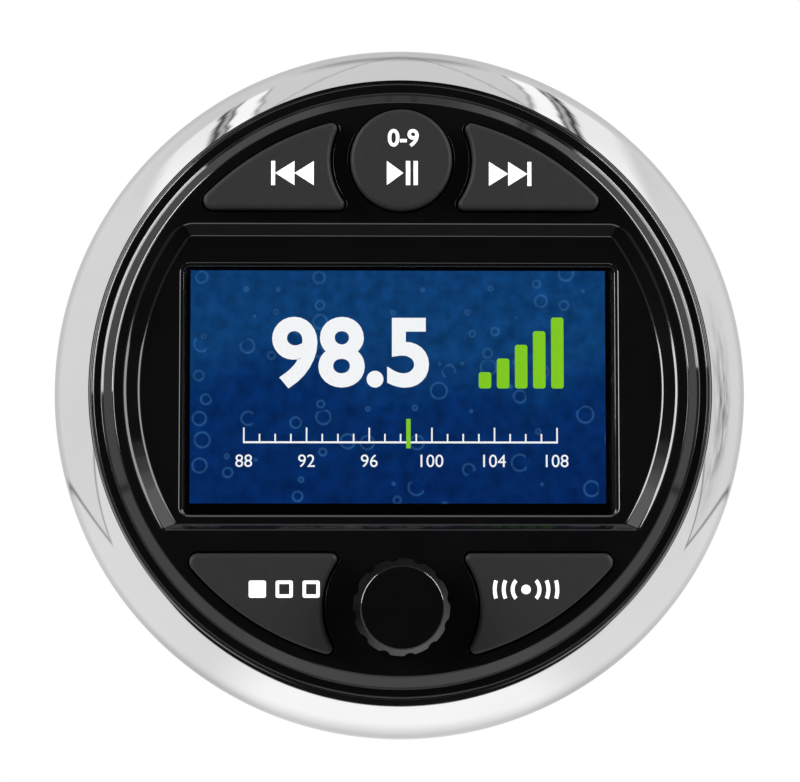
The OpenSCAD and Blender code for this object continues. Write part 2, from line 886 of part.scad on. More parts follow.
module bezel_seal() {
    color([0.16, 0.16, 0.16]) stand_up() difference() {
        tube(barrel_flange_r - seal_edge, cavity_r + seal_edge, shoulder_z - seal_t, shoulder_z);
        on_quarters(barrel_screw_r) drum(barrel_screw_hole_r + seal_edge, seat_z - past, shoulder_z + past);
    }
}

countersink_r = 2.3;
countersink_t = 1.1;
cover_boss_cap = 1;

module countersunk(grow) {
    drum(barrel_screw_hole_r + grow, seat_z, back_z - barrel_screw_cap);
    translate([0, 0, seat_z])
        cylinder(r1 = countersink_r + grow, r2 = barrel_screw_hole_r + grow, h = countersink_t);
}

module barrel() {
    color([0.08, 0.08, 0.085]) stand_up() difference() {
        union() {
            tube(barrel_r, barrel_in_r, -barrel_len, shoulder_z - seal_t);
            tube(barrel_r + gasket_rib, barrel_in_r, 0, shoulder_z - seal_t);
            tube(barrel_flange_r, barrel_in_r, seat_z, shoulder_z - seal_t);
            intersection() {
                on_quarters(cover_screw_at) drum(cover_boss_r, -barrel_len, cover_boss_h - barrel_len);
                drum(barrel_r - slip, -barrel_len, 0);
            }
        }
        on_quarters(barrel_screw_r) countersunk(slip);
        on_quarters(cover_screw_at)
            drum(cover_screw_r + thread_fit, -barrel_len - past, cover_boss_h - barrel_len - cover_boss_cap);
    }
}

module barrel_screws() {
    color("silver") stand_up() on_quarters(barrel_screw_r) countersunk(0);
}

// Rear cover

fin_edge = 5;
fin_foot_y = 8;
cover_screw_seat_r = cover_screw_head[0] + 0.3;
chip_pad_r = 2 * clamp_screw_r;
clamp_hole_depth = 2;

module fins() {
    reach = cover_r - fin_edge;
    count = floor(2 * (stud_x - stud_head_r) / fin_pitch);
    intersection() {
        for (i = [0:count - 1])
            translate([(i - (count - 1) / 2) * fin_pitch - fin_t / 2, fin_foot_y, cover_back_z - fin_h])
                cube([fin_t, reach, fin_h + past]);
        drum(reach, cover_back_z - fin_h, cover_z);
    }
}

module rear_cover() {
    color([0.2, 0.2, 0.21]) stand_up() difference() {
        union() {
            drum(cover_r, cover_back_z, cover_z);
            difference() {
                tube(spigot_r, spigot_r - spigot_wall, cover_z - slip, cover_z + spigot_h);
                on_quarters(cover_screw_at)
                    drum(cover_boss_r + spigot_fit, cover_z, cover_z + spigot_h + past);
            }
            fins();
            for (sx = [-1, 1])
                translate([sx * clamp_screw_x, chip_y, 0])
                    drum(chip_pad_r, cover_z - slip, cover_z + chip_size[2]);
        }
        on_quarters(cover_screw_at) drum(cover_screw_r + slip, cover_back_z - fin_h - past, cover_z + past);
        on_quarters(cover_screw_at) drum(cover_screw_seat_r, cover_back_z - fin_h - past, cover_back_z);
        for (sx = [-1, 1]) {
            translate([sx * stud_x, 0, 0])
                drum(stud_shank_r + thread_fit, cover_back_z - past, cover_z + past);
            translate([sx * clamp_screw_x, chip_y, 0])
                drum(clamp_screw_r + thread_fit, cover_z - clamp_hole_depth, cover_z + chip_size[2] + past);
        }
        at(antenna_place) drum(antenna_bore_r + antenna_wall + slip, cover_back_z - past, cover_z + past);
        for (p = jack_places) at(p) drum(jack_r + slip, cover_back_z - past, cover_z + past);
        at(socket_place, cover_back_z - past) linear_extrude(cover_t + 2 * past)
            square([socket_w + 2 * slip, socket_h + 2 * slip], center = true);
    }
}

module cover_seal() {
    color([0.16, 0.16, 0.16]) stand_up()
        tube(cover_r - seal_edge, spigot_r + seal_edge, cover_z, cover_z + cover_seal_t);
}

module cover_screws() {
    color("silver") stand_up() on_quarters(cover_screw_at) translate([0, 0, cover_back_z])
        pan_screw(cover_screw_r, cover_screw_head, cover_t + cover_seal_t + cover_screw_grip);
}

module mounting_studs() {
    color("silver") stand_up() for (sx = [-1, 1]) translate([sx * stud_x, 0, 0]) {
        drum(stud_d / 2, cover_back_z - stud_len, cover_back_z);
        drum(stud_shank_r, cover_back_z, cover_z + stud_head_t);
        drum(stud_head_r, cover_z, cover_z + stud_head_t);
    }
}

// Main board

pillar_places = [for (sx = [-1, 1], sy = [-1, 1]) [sx * pillar_place[0], sy * pillar_place[1]]];
pillar_r = 2.6;
pillar_screw_r = 1.2;
pillar_screw_head = [2.2, 1.5];
pillar_screw_grip = 6;
pillar_hole_depth = 8;
main_board_edge = 1;
capacitor_places = [[-24, 2], [-11, 8], [-18, 20]];
tuner_size = [24, 18, 8];
tuner_place = [4, 5];

module main_board() {
    color("darkgreen") stand_up() difference() {
        drum(board_r - main_board_edge, main_z, main_front_z);
        for (p = pillar_places) at(p) drum(pillar_screw_r + slip, main_z - past, main_front_z + past);
    }
}

module board_pillars() {
    color("goldenrod") stand_up() for (p = pillar_places) at(p) difference() {
        translate([0, 0, cover_z]) cylinder(r = pillar_r, h = main_lift, $fn = 6);
        drum(pillar_screw_r + thread_fit, main_z - pillar_hole_depth, main_z + past);
    }
}

module pillar_screws() {
    color("silver") stand_up() for (p = pillar_places) at(p, main_front_z)
        mirror([0, 0, 1]) pan_screw(pillar_screw_r, pillar_screw_head, board_t + pillar_screw_grip);
}

module amplifier_chip() {
    leads = 12;
    lead_pitch = 2;
    lead_w = 0.7;
    lead_z = cover_z + chip_size[2] / 2;
    lead_out = 3;
    color([0.1, 0.1, 0.1]) stand_up() translate([0, chip_y, 0]) {
        translate([-chip_size[0] / 2, -chip_size[1] / 2, cover_z]) cube(chip_size);
        for (i = [0:leads - 1])
            translate([(i - (leads - 1) / 2) * lead_pitch - lead_w / 2, chip_size[1] / 2 - slip, 0]) {
                translate([0, 0, lead_z]) cube([lead_w, lead_out, lead_w]);
                translate([0, lead_out - lead_w, lead_z]) cube([lead_w, lead_w, main_z - lead_z]);
            }
    }
}

module chip_clamp() {
    overhang = 4;
    depth = 8;
    color("silver") stand_up() translate([0, chip_y, cover_z + chip_size[2]]) linear_extrude(clamp_t)
        difference() {
            round_rect(2 * (clamp_screw_x + overhang), depth, depth / 2 - slip);
            for (sx = [-1, 1]) translate([sx * clamp_screw_x, 0]) circle(clamp_screw_r + slip);
        }
}

module clamp_screws() {
    color("silver") stand_up() for (sx = [-1, 1])
        translate([sx * clamp_screw_x, chip_y, cover_z + chip_size[2] + clamp_t])
            mirror([0, 0, 1])
                pan_screw(clamp_screw_r, clamp_screw_head, clamp_t + chip_size[2] + clamp_screw_grip);
}

// Crimp groove of a capacitor, given as [depth, height above the board, width].
capacitor_groove = [0.4, 2, 0.8];

module capacitors() {
    color("darkslateblue") stand_up() for (p = capacitor_places) at(p) difference() {
        drum(capacitor_r, main_front_z, main_front_z + capacitor_h);
        tube(capacitor_r + past, capacitor_r - capacitor_groove[0],
            main_front_z + capacitor_groove[1], main_front_z + capacitor_groove[1] + capacitor_groove[2]);
    }
}

module tuner_module() {
    color("silver") stand_up() at(tuner_place, main_front_z) cube(tuner_size);
}

module ribbon_cable() {
    span = board_back_z - ribbon_socket[2] - main_front_z - ribbon_socket[2];
    sag = sqrt(ribbon_r * ribbon_r - span * span / 4);
    middle = main_front_z + ribbon_socket[2] + span / 2;
    color("white") stand_up() translate([-ribbon_w / 2, ribbon_y + sag, middle])
        rotate([90, 0, 90]) linear_extrude(ribbon_w) intersection() {
            difference() {
                circle(ribbon_r + ribbon_t / 2);
                circle(ribbon_r - ribbon_t / 2);
            }
            translate([-2 * ribbon_r, -span / 2]) square([2 * ribbon_r, span]);
        }
}

module ribbon_sockets() {
    color("ivory") stand_up() for (z = [main_front_z, board_back_z - ribbon_socket[2]])
        translate([-ribbon_socket[0] / 2, ribbon_y - ribbon_socket[1] / 2, z]) cube(ribbon_socket);
}

// Rear sockets

socket_lap = 1.6;
socket_flange_t = 1.8;
socket_corner = 0.8;
pin_tail = 2;

module harness_socket() {
    end_z = cover_back_z - socket_reach;
    color([0.85, 0.85, 0.8]) stand_up() at(socket_place) difference() {
        union() {
            translate([0, 0, end_z]) linear_extrude(cover_z - end_z + socket_flange_t)
                round_rect(socket_w, socket_h, socket_corner);
            translate([0, 0, cover_z]) linear_extrude(socket_flange_t)
                square([socket_w + 2 * socket_lap, socket_h + 2 * socket_lap], center = true);
        }
        translate([0, 0, end_z - past]) linear_extrude(cover_z + socket_flange_t - socket_base - end_z + past)
            square([socket_w - 2 * socket_wall, socket_h - 2 * socket_wall], center = true);
    }
}

module harness_pins() {
    columns = floor((socket_w - 2 * socket_wall) / pin_pitch);
    foot_z = cover_z + socket_flange_t - socket_base - pin_reach;
    color("gold") stand_up() at(socket_place) for (i = [0:columns - 1], row = [-1, 1])
        translate([(i - (columns - 1) / 2) * pin_pitch, row * pin_pitch / 2, foot_z])
            linear_extrude(pin_reach + socket_base + pin_tail) square(pin_w, center = true);
}

module antenna_jack() {
    floor = cover_z + jack_flange_t - antenna_cap;
    end_z = floor - antenna_depth;
    color("silver") stand_up() at(antenna_place) difference() {
        union() {
            drum(antenna_bore_r + antenna_wall, end_z, cover_z + jack_flange_t);
            drum(antenna_bore_r + 2 * antenna_wall, cover_z, cover_z + jack_flange_t);
        }
        drum(antenna_bore_r, end_z - past, floor);
    }
}

jack_reach = 9;
jack_collar = [jack_r + 1.3, 2];
jack_pin_r = 1.6;
jack_core_r = 3.2;
jack_core_sink = 1;
jack_collar_z = cover_back_z - jack_collar[1];

module signal_jack_cores() {
    color("firebrick") stand_up() for (p = jack_places) at(p) difference() {
        union() {
            drum(jack_core_r, jack_collar_z - jack_reach + jack_core_sink, cover_z + jack_flange_t);
            drum(jack_collar[0], jack_collar_z, cover_back_z);
            drum(jack_r, cover_back_z - slip, cover_z + jack_flange_t);
            drum(jack_collar[0], cover_z, cover_z + jack_flange_t);
        }
        drum(jack_pin_r, jack_collar_z - jack_reach - past, cover_back_z);
    }
}

module signal_jack_shells() {
    color("silver") stand_up() for (p = jack_places) at(p)
        tube(jack_r, jack_core_r + thread_fit, jack_collar_z - jack_reach, jack_collar_z);
}

trim_ring();
bezel();
window_tape();
display_window();
lcd_panel();
backlight_tray();
lcd_holder();
previous_button();
play_button();
next_button();
mode_button();
band_button();
previous_plunger();
play_plunger();
next_plunger();
mode_plunger();
band_plunger();
switch_bodies();
keypad_mats();
volume_knob();
encoder_shaft();
encoder_plunger();
encoder_body();
encoder_washer();
encoder_nut();
front_board();
front_board_screws();
controller_chip();
panel_gasket();
bezel_seal();
barrel();
barrel_screws();
rear_cover();
cover_seal();
cover_screws();
mounting_studs();
main_board();
board_pillars();
pillar_screws();
amplifier_chip();
chip_clamp();
clamp_screws();
capacitors();
tuner_module();
ribbon_cable();
ribbon_sockets();
harness_socket();
harness_pins();
antenna_jack();
signal_jack_cores();
signal_jack_shells();
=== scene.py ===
"""Looks of a round panel-mounted marine stereo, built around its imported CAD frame.

Shapes are drawn in millimetres as seen from the front: x to the right, y up, z out of the face,
with z = 0 on the panel's surface.
"""
import math

import bmesh
import bpy
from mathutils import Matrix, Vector
from mathutils.geometry import tessellate_polygon


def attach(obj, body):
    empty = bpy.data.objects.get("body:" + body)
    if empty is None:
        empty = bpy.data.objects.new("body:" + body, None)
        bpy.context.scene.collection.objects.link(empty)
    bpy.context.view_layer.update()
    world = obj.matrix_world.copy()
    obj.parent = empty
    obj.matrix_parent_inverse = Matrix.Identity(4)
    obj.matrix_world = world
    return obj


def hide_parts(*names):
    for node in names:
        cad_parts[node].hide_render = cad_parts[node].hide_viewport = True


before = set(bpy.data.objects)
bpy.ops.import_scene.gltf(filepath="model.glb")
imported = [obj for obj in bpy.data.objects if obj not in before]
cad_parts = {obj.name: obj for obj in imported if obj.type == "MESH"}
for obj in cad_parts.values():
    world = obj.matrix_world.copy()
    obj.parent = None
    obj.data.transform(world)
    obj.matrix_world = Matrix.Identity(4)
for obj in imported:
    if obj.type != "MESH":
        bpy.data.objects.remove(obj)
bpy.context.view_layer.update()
scene = bpy.context.scene

MM = 0.001
ROOT = "head_unit"

# Sizes of the face, in millimetres
RING_R = 55.75
RING_IN_R = 49.0
RING_SKIRT_R = 53.6
RING_LIFT = 0.5
RING_EDGE = 1.5
RING_H = 10.5
RING_TURN = 62.0
RING_LIP_ROUND = 0.18
RING_FOOT_ROUND = 0.25
FLANGE_Z = 5.0
FLANGE_PLAY = 0.05
SEAT_Z = 1.5
SHOULDER_Z = 3.7
BACK_Z = 9.2
FLOOR_Z = 12.0
LEDGE_Z = 10.9
FACE_Z = 13.2
BEZEL_R = 48.9
BEZEL_FLANGE_R = 53.5
BEZEL_SEAT_R = 49.1
CAVITY_R = 45.9
SLOPE_FOOT_R = 47.4
SLOPE_TOP_R = 45.45
SLOPE_ROUND = 0.45
FOOT_ROUND = 0.3
POCKET_R = 43.75
POCKET_TOP = 26.15
POCKET_BOTTOM = 22.5
POCKET_CORNER = 4.0
POCKET_LOWER_CORNER = 0.6
SIDE_BEVEL = 2.45
TOP_BEVEL = 2.0
BOTTOM_BEVEL = 1.0
BEVEL_SOFT = (0.2, 0.14)
WINDOW_X = -0.27
WINDOW_Y = -0.2
WINDOW_W = 69.6
WINDOW_H = 40.4
WINDOW_CORNER = 1.6
WINDOW_CHAMFER = 0.65
WINDOW_DROP = 0.3
WINDOW_EDGE = 0.13
WINDOW_LIP = 0.12
WINDOW_SILL = 0.6
WINDOW_UNDERCUT = 0.35
LCD_TOP_Z = 7.2

# Sizes of the keys and the knob
KEY_R = 43.45
KEY_TOP_Z = 14.8
KEY_BASE_Z = 9.8
KEY_TIP = 1.4
KEY_CORNER = 0.9
KEY_ROUND = 0.7
KEY_FIT = 0.3
KEY_LIP = 0.22
UPPER_KEY = (28.2, 36.1, 11.25)
LOWER_KEY = (26.1, 34.5, 12.4)
PLAY_Y = 36.1
PLAY_R = 8.05
KNOB_Y = -34.5
KNOB_Z = 14.2
KNOB_TOP_Z = 24.2
BUSHING_HOLE_R = 3.6

CIRCLE_STEPS = 288


def polar(r, angle, centre=(0.0, 0.0)):
    """Point at a distance and at an angle in degrees from a centre."""
    turn = math.radians(angle)
    return (centre[0] + r * math.cos(turn), centre[1] + r * math.sin(turn))


def arc(centre, r, start, end, steps, ends=True):
    """Points along an arc, angles in degrees, with or without its two ends."""
    picks = range(steps + 1) if ends else range(1, steps)
    return [polar(r, start + (end - start) * i / steps, centre) for i in picks]


def at_height(r, y):
    """Point on the right of a circle about the middle."""
    return (math.sqrt(r * r - y * y), y)


def heading(x, y):
    return math.degrees(math.atan2(y, x))


def circle(r, centre=(0.0, 0.0), steps=CIRCLE_STEPS):
    return arc(centre, r, 0, 360, steps)[:-1]


def mirrored(outline, sx, sy):
    """The outline mirrored left to right or top to bottom, still counter-clockwise."""
    flipped = [(sx * x, sy * y) for x, y in outline]
    return flipped[::-1] if sx * sy < 0 else flipped


def side_key_outline(edge, hub_y, hollow, inset):
    """Key that fills the corner between the rim, a level edge and a round neighbour."""
    far = KEY_R - KEY_CORNER
    near = hollow + KEY_CORNER
    tip = at_height(KEY_R - KEY_TIP, edge + KEY_TIP)
    upper = at_height(far, (far ** 2 - near ** 2 + hub_y ** 2) / (2 * hub_y))
    from_hub = at_height(near, edge + KEY_CORNER - hub_y)
    lower = (from_hub[0], from_hub[1] + hub_y)
    from_tip = heading(*tip)
    from_upper = heading(*upper)
    hub_upper = heading(upper[0], upper[1] - hub_y)
    hub_lower = heading(*from_hub)
    return (
        arc(tip, KEY_TIP - inset, -90, from_tip, 12)
        + arc((0, 0), KEY_R - inset, from_tip, from_upper, 48, ends=False)
        + arc(upper, KEY_CORNER - inset, from_upper, 180 + hub_upper, 12)
        + arc((0, hub_y), hollow + inset, hub_upper, hub_lower, 40, ends=False)
        + arc(lower, KEY_CORNER - inset, 180 + hub_lower, 270, 10)
    )


def clipped_disc(radius, top, bottom, upper_corner, lower_corner):
    """Disc cut off level at top and bottom, with rounded corners."""
    upper = at_height(radius - upper_corner, top - upper_corner)
    lower = at_height(radius - lower_corner, lower_corner - bottom)
    right = (
        arc(lower, lower_corner, -90, heading(*lower), 6)
        + arc((0, 0), radius, heading(*lower), heading(*upper), 56, ends=False)
        + arc(upper, upper_corner, heading(*upper), 90, 14)
    )
    return right + mirrored(right, -1, 1)


def round_rect(w, h, r, centre=(0.0, 0.0), steps=8):
    """Rectangle with round corners."""
    outline = []
    for sx, sy, start in ((1, -1, -90), (1, 1, 0), (-1, 1, 90), (-1, -1, 180)):
        corner = (centre[0] + sx * (w / 2 - r), centre[1] + sy * (h / 2 - r))
        outline += arc(corner, r, start, start + 90, steps)
    return outline


class Shell:
    """Vertices and faces of one mesh, gathered ring by ring."""

    def __init__(self):
        self.points = []
        self.faces = []
        self.flat = set()

    def ring(self, outline, z):
        first = len(self.points)
        self.points += [(x, y, z) for x, y in outline]
        return list(range(first, len(self.points)))

    def wall(self, one, other):
        for i, near in enumerate(one):
            j = (i + 1) % len(one)
            self.faces.append((near, one[j], other[j], other[i]))

    def stack(self, rings):
        for one, other in zip(rings, rings[1:]):
            self.wall(one, other)

    def plate(self, *loops):
        """Flat area inside the first loop and outside the others."""
        flat = [[Vector((*self.points[i][:2], 0)) for i in loop] for loop in loops]
        order = [i for loop in loops for i in loop]
        for triangle in tessellate_polygon(flat):
            self.flat.add(len(self.faces))
            self.faces.append(tuple(order[i] for i in triangle))

    def caps(self, rings):
        """Plates over the first ring and the last."""
        self.plate(rings[0])
        self.plate(rings[-1])

    def solid(self, rings):
        self.stack(rings)
        self.caps(rings)

    def lathe(self, profile, centre=(0.0, 0.0), closed=True, steps=CIRCLE_STEPS):
        """Turns a profile of (radius, z) points about an axis out of the face."""
        rings = [self.ring(circle(r, centre, steps), z) for r, z in profile]
        self.stack(rings + rings[:1] if closed else rings)
        return rings


# Layer that lets flat areas, then broad faces (in square metres), lead the shading of the edges round them
FACE_STRENGTH = "__mod_weightednormals_faceweight"
WEAK, MEDIUM, STRONG = -16384, 0, 16384
BROAD = 0.8e-6


def make_piece(name, shell, body, slot, material, stands_for=(), sharp=38.0):
    """Turns a shell into an object in the frame's metres that rides on a body."""
    mesh = bpy.data.meshes.new(name)
    mesh.from_pydata([Vector((x, -z, y)) * MM for x, y, z in shell.points], [], shell.faces)
    strength = mesh.attributes.new(FACE_STRENGTH, "INT", "FACE")
    ranks = [MEDIUM if face.area > BROAD else WEAK for face in mesh.polygons]
    for i in shell.flat:
        ranks[i] = STRONG
    strength.data.foreach_set("value", ranks)
    work = bmesh.new()
    work.from_mesh(mesh)
    bmesh.ops.remove_doubles(work, verts=work.verts, dist=1e-7)
    bmesh.ops.recalc_face_normals(work, faces=work.faces)
    work.to_mesh(mesh)
    work.free()
    mesh.shade_smooth()
    mesh.set_sharp_from_angle(angle=math.radians(sharp))
    mesh.materials.append(material)
    piece = bpy.data.objects.new(name, mesh)
    scene.collection.objects.link(piece)
    even = piece.modifiers.new("even_normals", "WEIGHTED_NORMAL")
    even.keep_sharp = True
    even.mode = "CORNER_ANGLE"
    even.use_face_influence = True
    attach(piece, body)
    if stands_for:
        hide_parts(*stands_for)


# Materials

NOISE_SPAN = (0.3, 0.7)
WHITE = (1.0, 1.0, 1.0, 1.0)
EVEN = (1.0, 1.0, 1.0)


def add(tree, kind, **settings):
    node = tree.nodes.new("ShaderNode" + kind)
    for key, value in settings.items():
        setattr(node, key, value)
    return node


def put(socket, value):
    """Sets a node's input, or links an output to it."""
    source = getattr(value, "socket", value)
    if isinstance(source, bpy.types.NodeSocket):
        socket.id_data.links.new(source, socket)
    else:
        socket.default_value = source


def feed(node, **inputs):
    """Fills a node's inputs by name; underscores stand for spaces."""
    for name, value in inputs.items():
        put(node.inputs[name.replace("_", " ")], value)
    return node


class Value:
    """Output of a shader node that takes part in sums."""

    def __init__(self, socket):
        self.socket = socket

    def calc(self, operation, *numbers, clamp=False):
        node = add(self.socket.id_data, "Math", operation=operation, use_clamp=clamp)
        for socket, number in zip(node.inputs, numbers):
            put(socket, number)
        return output(node, "Value")

    def __add__(self, other):
        return self.calc("ADD", self, other)

    def __sub__(self, other):
        return self.calc("SUBTRACT", self, other)

    def __rsub__(self, other):
        return self.calc("SUBTRACT", other, self)

    def __mul__(self, other):
        return self.calc("MULTIPLY", self, other)

    def __abs__(self):
        return self.calc("ABSOLUTE", self)


def output(node, name):
    return Value(node.outputs[name])


def remap(value, low, high, start=0.0, end=1.0, kind="SMOOTHSTEP"):
    """Goes from start to end as a value goes from low to high."""
    node = add(value.socket.id_data, "MapRange", interpolation_type=kind)
    feed(node, Value=value, From_Min=low, From_Max=high, To_Min=start, To_Max=end)
    return output(node, "Result")


def spread(value, low, high):
    """The usual span of noise, spread over a range."""
    return remap(value, *NOISE_SPAN, low, high, "LINEAR")


def line(value, half_width):
    """1 where a value is 0, and 0 from half_width on."""
    return value.calc("SUBTRACT", 1.0, abs(value) * (1.0 / half_width), clamp=True)


def new_material(name):
    material = bpy.data.materials.new(name)
    material.use_nodes = True
    tree = material.node_tree
    return material, tree, tree.nodes["Principled BSDF"]


def noise(tree, scale, detail=2.0, stretch=EVEN):
    """Noise in the piece's own metres, stretched along its axes."""
    spot = add(tree, "TexCoord").outputs["Object"]
    mapping = feed(add(tree, "Mapping"), Vector=spot, Scale=stretch)
    texture = feed(add(tree, "TexNoise"), Vector=mapping.outputs["Vector"], Scale=scale, Detail=detail)
    return output(texture, "Fac")


def ramp(value, places, colors):
    """Colours at rising places of a value, blended between them."""
    node = feed(add(value.socket.id_data, "ValToRGB"), Fac=value)
    band = node.color_ramp
    band.elements[0].position, band.elements[1].position = places[0], places[-1]
    band.elements[0].color, band.elements[1].color = (*colors[0], 1), (*colors[-1], 1)
    for position, color in zip(places[1:-1], colors[1:-1]):
        band.elements.new(position).color = (*color, 1)
    return node.outputs["Color"]


def surface(name, color, rough, tone, metallic=0.0, shade=0.12, grain=None, stretch=EVEN, **inputs):
    """Material whose colour, gloss and relief all vary a little.

    color is one number for a grey, rough is (low, high), tone is the scale of the mottling, and grain is
    (scale, strength, depth in metres) of the relief.
    """
    color = (color,) * 3 if isinstance(color, float) else color
    material, tree, shader = new_material(name)
    mottle = noise(tree, tone, 4.0, stretch)
    dark = tuple(c * (1 - shade) for c in color)
    light = tuple(min(1.0, c * (1 + shade)) for c in color)
    feed(shader, Base_Color=ramp(mottle, NOISE_SPAN, (dark, light)), Roughness=spread(mottle, *rough),
         Metallic=metallic, **inputs)
    if grain:
        scale, strength, depth = grain
        relief = noise(tree, scale, 3.0, stretch)
        bump = feed(add(tree, "Bump"), Height=relief, Strength=strength, Distance=depth)
        feed(shader, Normal=bump.outputs["Normal"])
    return material


CHROME = surface("chrome", 0.81, (0.03, 0.07), 40.0, metallic=1.0, shade=0.03, grain=(55.0, 0.05, 0.0004))
GLOSS_BLACK = surface("gloss_black", (0.0016, 0.0016, 0.0018), (0.04, 0.08), 120.0,
                      grain=(90.0, 0.02, 0.0002), IOR=1.47)
KEY_RUBBER = surface("key_rubber", 0.0135, (0.52, 0.6), 1500.0, shade=0.05,
                     grain=(5200.0, 0.25, 0.00006), Specular_IOR_Level=0.3)
KNOB_RUBBER = surface("knob_rubber", (0.006, 0.006, 0.0063), (0.5, 0.62), 900.0, shade=0.06,
                      grain=(4000.0, 0.2, 0.00005), Specular_IOR_Level=0.03)
SEAL_RUBBER = surface("seal_rubber", 0.018, (0.7, 0.85), 400.0, grain=(1800.0, 0.5, 0.0002))
BARREL_BLACK = surface("barrel_plastic", (0.014, 0.014, 0.015), (0.46, 0.52), 900.0,
                       grain=(3200.0, 0.3, 0.00008))
COVER_CAST = surface("cover_coating", (0.016, 0.016, 0.017), (0.42, 0.58), 300.0, metallic=0.2,
                     grain=(1500.0, 0.4, 0.0002))
STEEL = surface("steel", (0.60, 0.60, 0.59), (0.18, 0.34), 500.0, metallic=1.0, shade=0.10,
                grain=(900.0, 0.15, 0.00008), stretch=(1.0, 0.25, 1.0))
BRASS = surface("brass", (0.72, 0.52, 0.22), (0.16, 0.3), 600.0, metallic=1.0)
BOARD_GREEN = surface("board_green", (0.02, 0.11, 0.045), (0.25, 0.4), 350.0, shade=0.3,
                      grain=(700.0, 0.3, 0.0001))
CHIP_BLACK = surface("chip_black", (0.015, 0.015, 0.016), (0.5, 0.65), 900.0, grain=(4000.0, 0.3, 0.00005))
SWITCH_BLACK = surface("switch_black", 0.012, (0.35, 0.5), 600.0)
TAPE_BLACK = surface("tape_black", 0.010, (0.6, 0.75), 500.0, grain=(2500.0, 0.4, 0.0001))
TRAY_METAL = surface("tray_metal", (0.62, 0.63, 0.64), (0.25, 0.4), 300.0, metallic=1.0,
                     stretch=(0.2, 1.0, 1.0))
WHITE_PLASTIC = surface("white_plastic", (0.72, 0.72, 0.70), (0.4, 0.55), 350.0, shade=0.05)
ENCODER_GREY = surface("encoder_grey", (0.30, 0.31, 0.32), (0.35, 0.5), 500.0, metallic=0.6)
CAPACITOR_BLUE = surface("capacitor_blue", (0.02, 0.05, 0.22), (0.3, 0.42), 500.0)
# White ink on the keys, with a painted glow: a weak emission makes the print brighter than the light that
# reaches it
PRINT_PAINTED_GLOW = surface("white_print_painted_glow", 0.86, (0.4, 0.55), 900.0, shade=0.03,
                      Emission_Color=WHITE, Emission_Strength=0.25)
CABLE_GREY = surface("ribbon_cable", (0.45, 0.46, 0.47), (0.45, 0.6), 600.0)
NYLON = surface("natural_nylon", (0.70, 0.69, 0.64), (0.38, 0.5), 350.0, shade=0.05,
                grain=(1400.0, 0.15, 0.00006), Subsurface_Weight=0.12, Subsurface_Scale=0.002)
JACK_WHITE = surface("jack_white", (0.76, 0.76, 0.74), (0.3, 0.42), 500.0, shade=0.04)
JACK_RED = surface("jack_red", (0.48, 0.012, 0.012), (0.3, 0.42), 500.0, shade=0.06)


def clear_window():
    """Hard-coated clear plastic in front of the display."""
    material, tree, shader = new_material("clear_window")
    haze = spread(noise(tree, 140.0, 3.0), 0.0, 0.02)
    feed(shader, Base_Color=(0.93, 0.95, 0.97, 1), Roughness=haze, Transmission_Weight=1.0, IOR=1.49)
    return material


SCREEN_X = (-33.6, 32.78)
SCREEN_Y = (-18.1, 19.2)
DEPTHS = (0.2, 0.7, 0.95)
DEPTH_BLUES = ((0.0008, 0.019, 0.112), (0.0012, 0.025, 0.126), (0.0040, 0.048, 0.168))
BUBBLE_BLUE = (0.035, 0.14, 0.34, 1)
BUBBLES_PER_METRE = 260.0
BUBBLE_R = 0.34
BUBBLE_RIM = 0.07
BUBBLE_RARITY = 0.55
BUBBLE_SHARE = 0.55


def within(value, span):
    """1 where a place in metres lies in a span in millimetres."""
    offset = abs(value - sum(span) / 2 * MM)
    return value.calc("LESS_THAN", offset, (span[1] - span[0]) / 2 * MM)


def lit_screen():
    """Display glass: a deep blue lit area with drifting bubbles inside a black border."""
    material, tree, shader = new_material("lit_screen")
    axes = feed(add(tree, "SeparateXYZ"), Vector=add(tree, "TexCoord").outputs["Object"])
    across, up = (output(axes, name) for name in "XZ")
    height = remap(up, SCREEN_Y[0] * MM, SCREEN_Y[1] * MM, kind="LINEAR") + noise(tree, 60.0, 3.0) * 0.5
    flat = feed(add(tree, "CombineXYZ"), X=across, Y=up)
    cells = add(tree, "TexVoronoi", voronoi_dimensions="2D")
    feed(cells, Vector=flat.outputs["Vector"], Scale=BUBBLES_PER_METRE)
    chance = feed(add(tree, "SeparateColor"), Color=cells.outputs["Color"])
    size = output(chance, "Green") * BUBBLE_R
    rim = line(output(cells, "Distance") - size, BUBBLE_RIM)
    some = size.calc("GREATER_THAN", chance.outputs["Red"], BUBBLE_RARITY)
    mix = add(tree, "Mix", data_type="RGBA")
    feed(mix, Factor=rim * some * BUBBLE_SHARE, A=ramp(height, DEPTHS, DEPTH_BLUES), B=BUBBLE_BLUE)
    lit = within(across, SCREEN_X) * within(up, SCREEN_Y) * spread(noise(tree, 420.0, 4.0), 0.72, 1.34)
    sheen = spread(noise(tree, 300.0), 0.12, 0.18)
    feed(shader, Base_Color=(0.001, 0.001, 0.0012, 1), Roughness=sheen,
         Emission_Color=mix.outputs["Result"], Emission_Strength=lit)
    return material


def glowing(name, color, strength):
    """Lit screen graphics."""
    material, tree, shader = new_material(name)
    low = tuple(0.94 * c for c in color)
    glow = ramp(noise(tree, 2500.0, 1.0), NOISE_SPAN, (low, color))
    feed(shader, Base_Color=(0, 0, 0, 1), Roughness=0.4, Emission_Color=glow, Emission_Strength=strength)
    return material


CLEAR_WINDOW = clear_window()
LIT_SCREEN = lit_screen()
SCREEN_WHITE = glowing("screen_white", (1.0, 1.0, 1.0), 1.05)
SCREEN_GREEN = glowing("screen_green", (0.25, 0.66, 0.015), 1.0)


# Trim ring

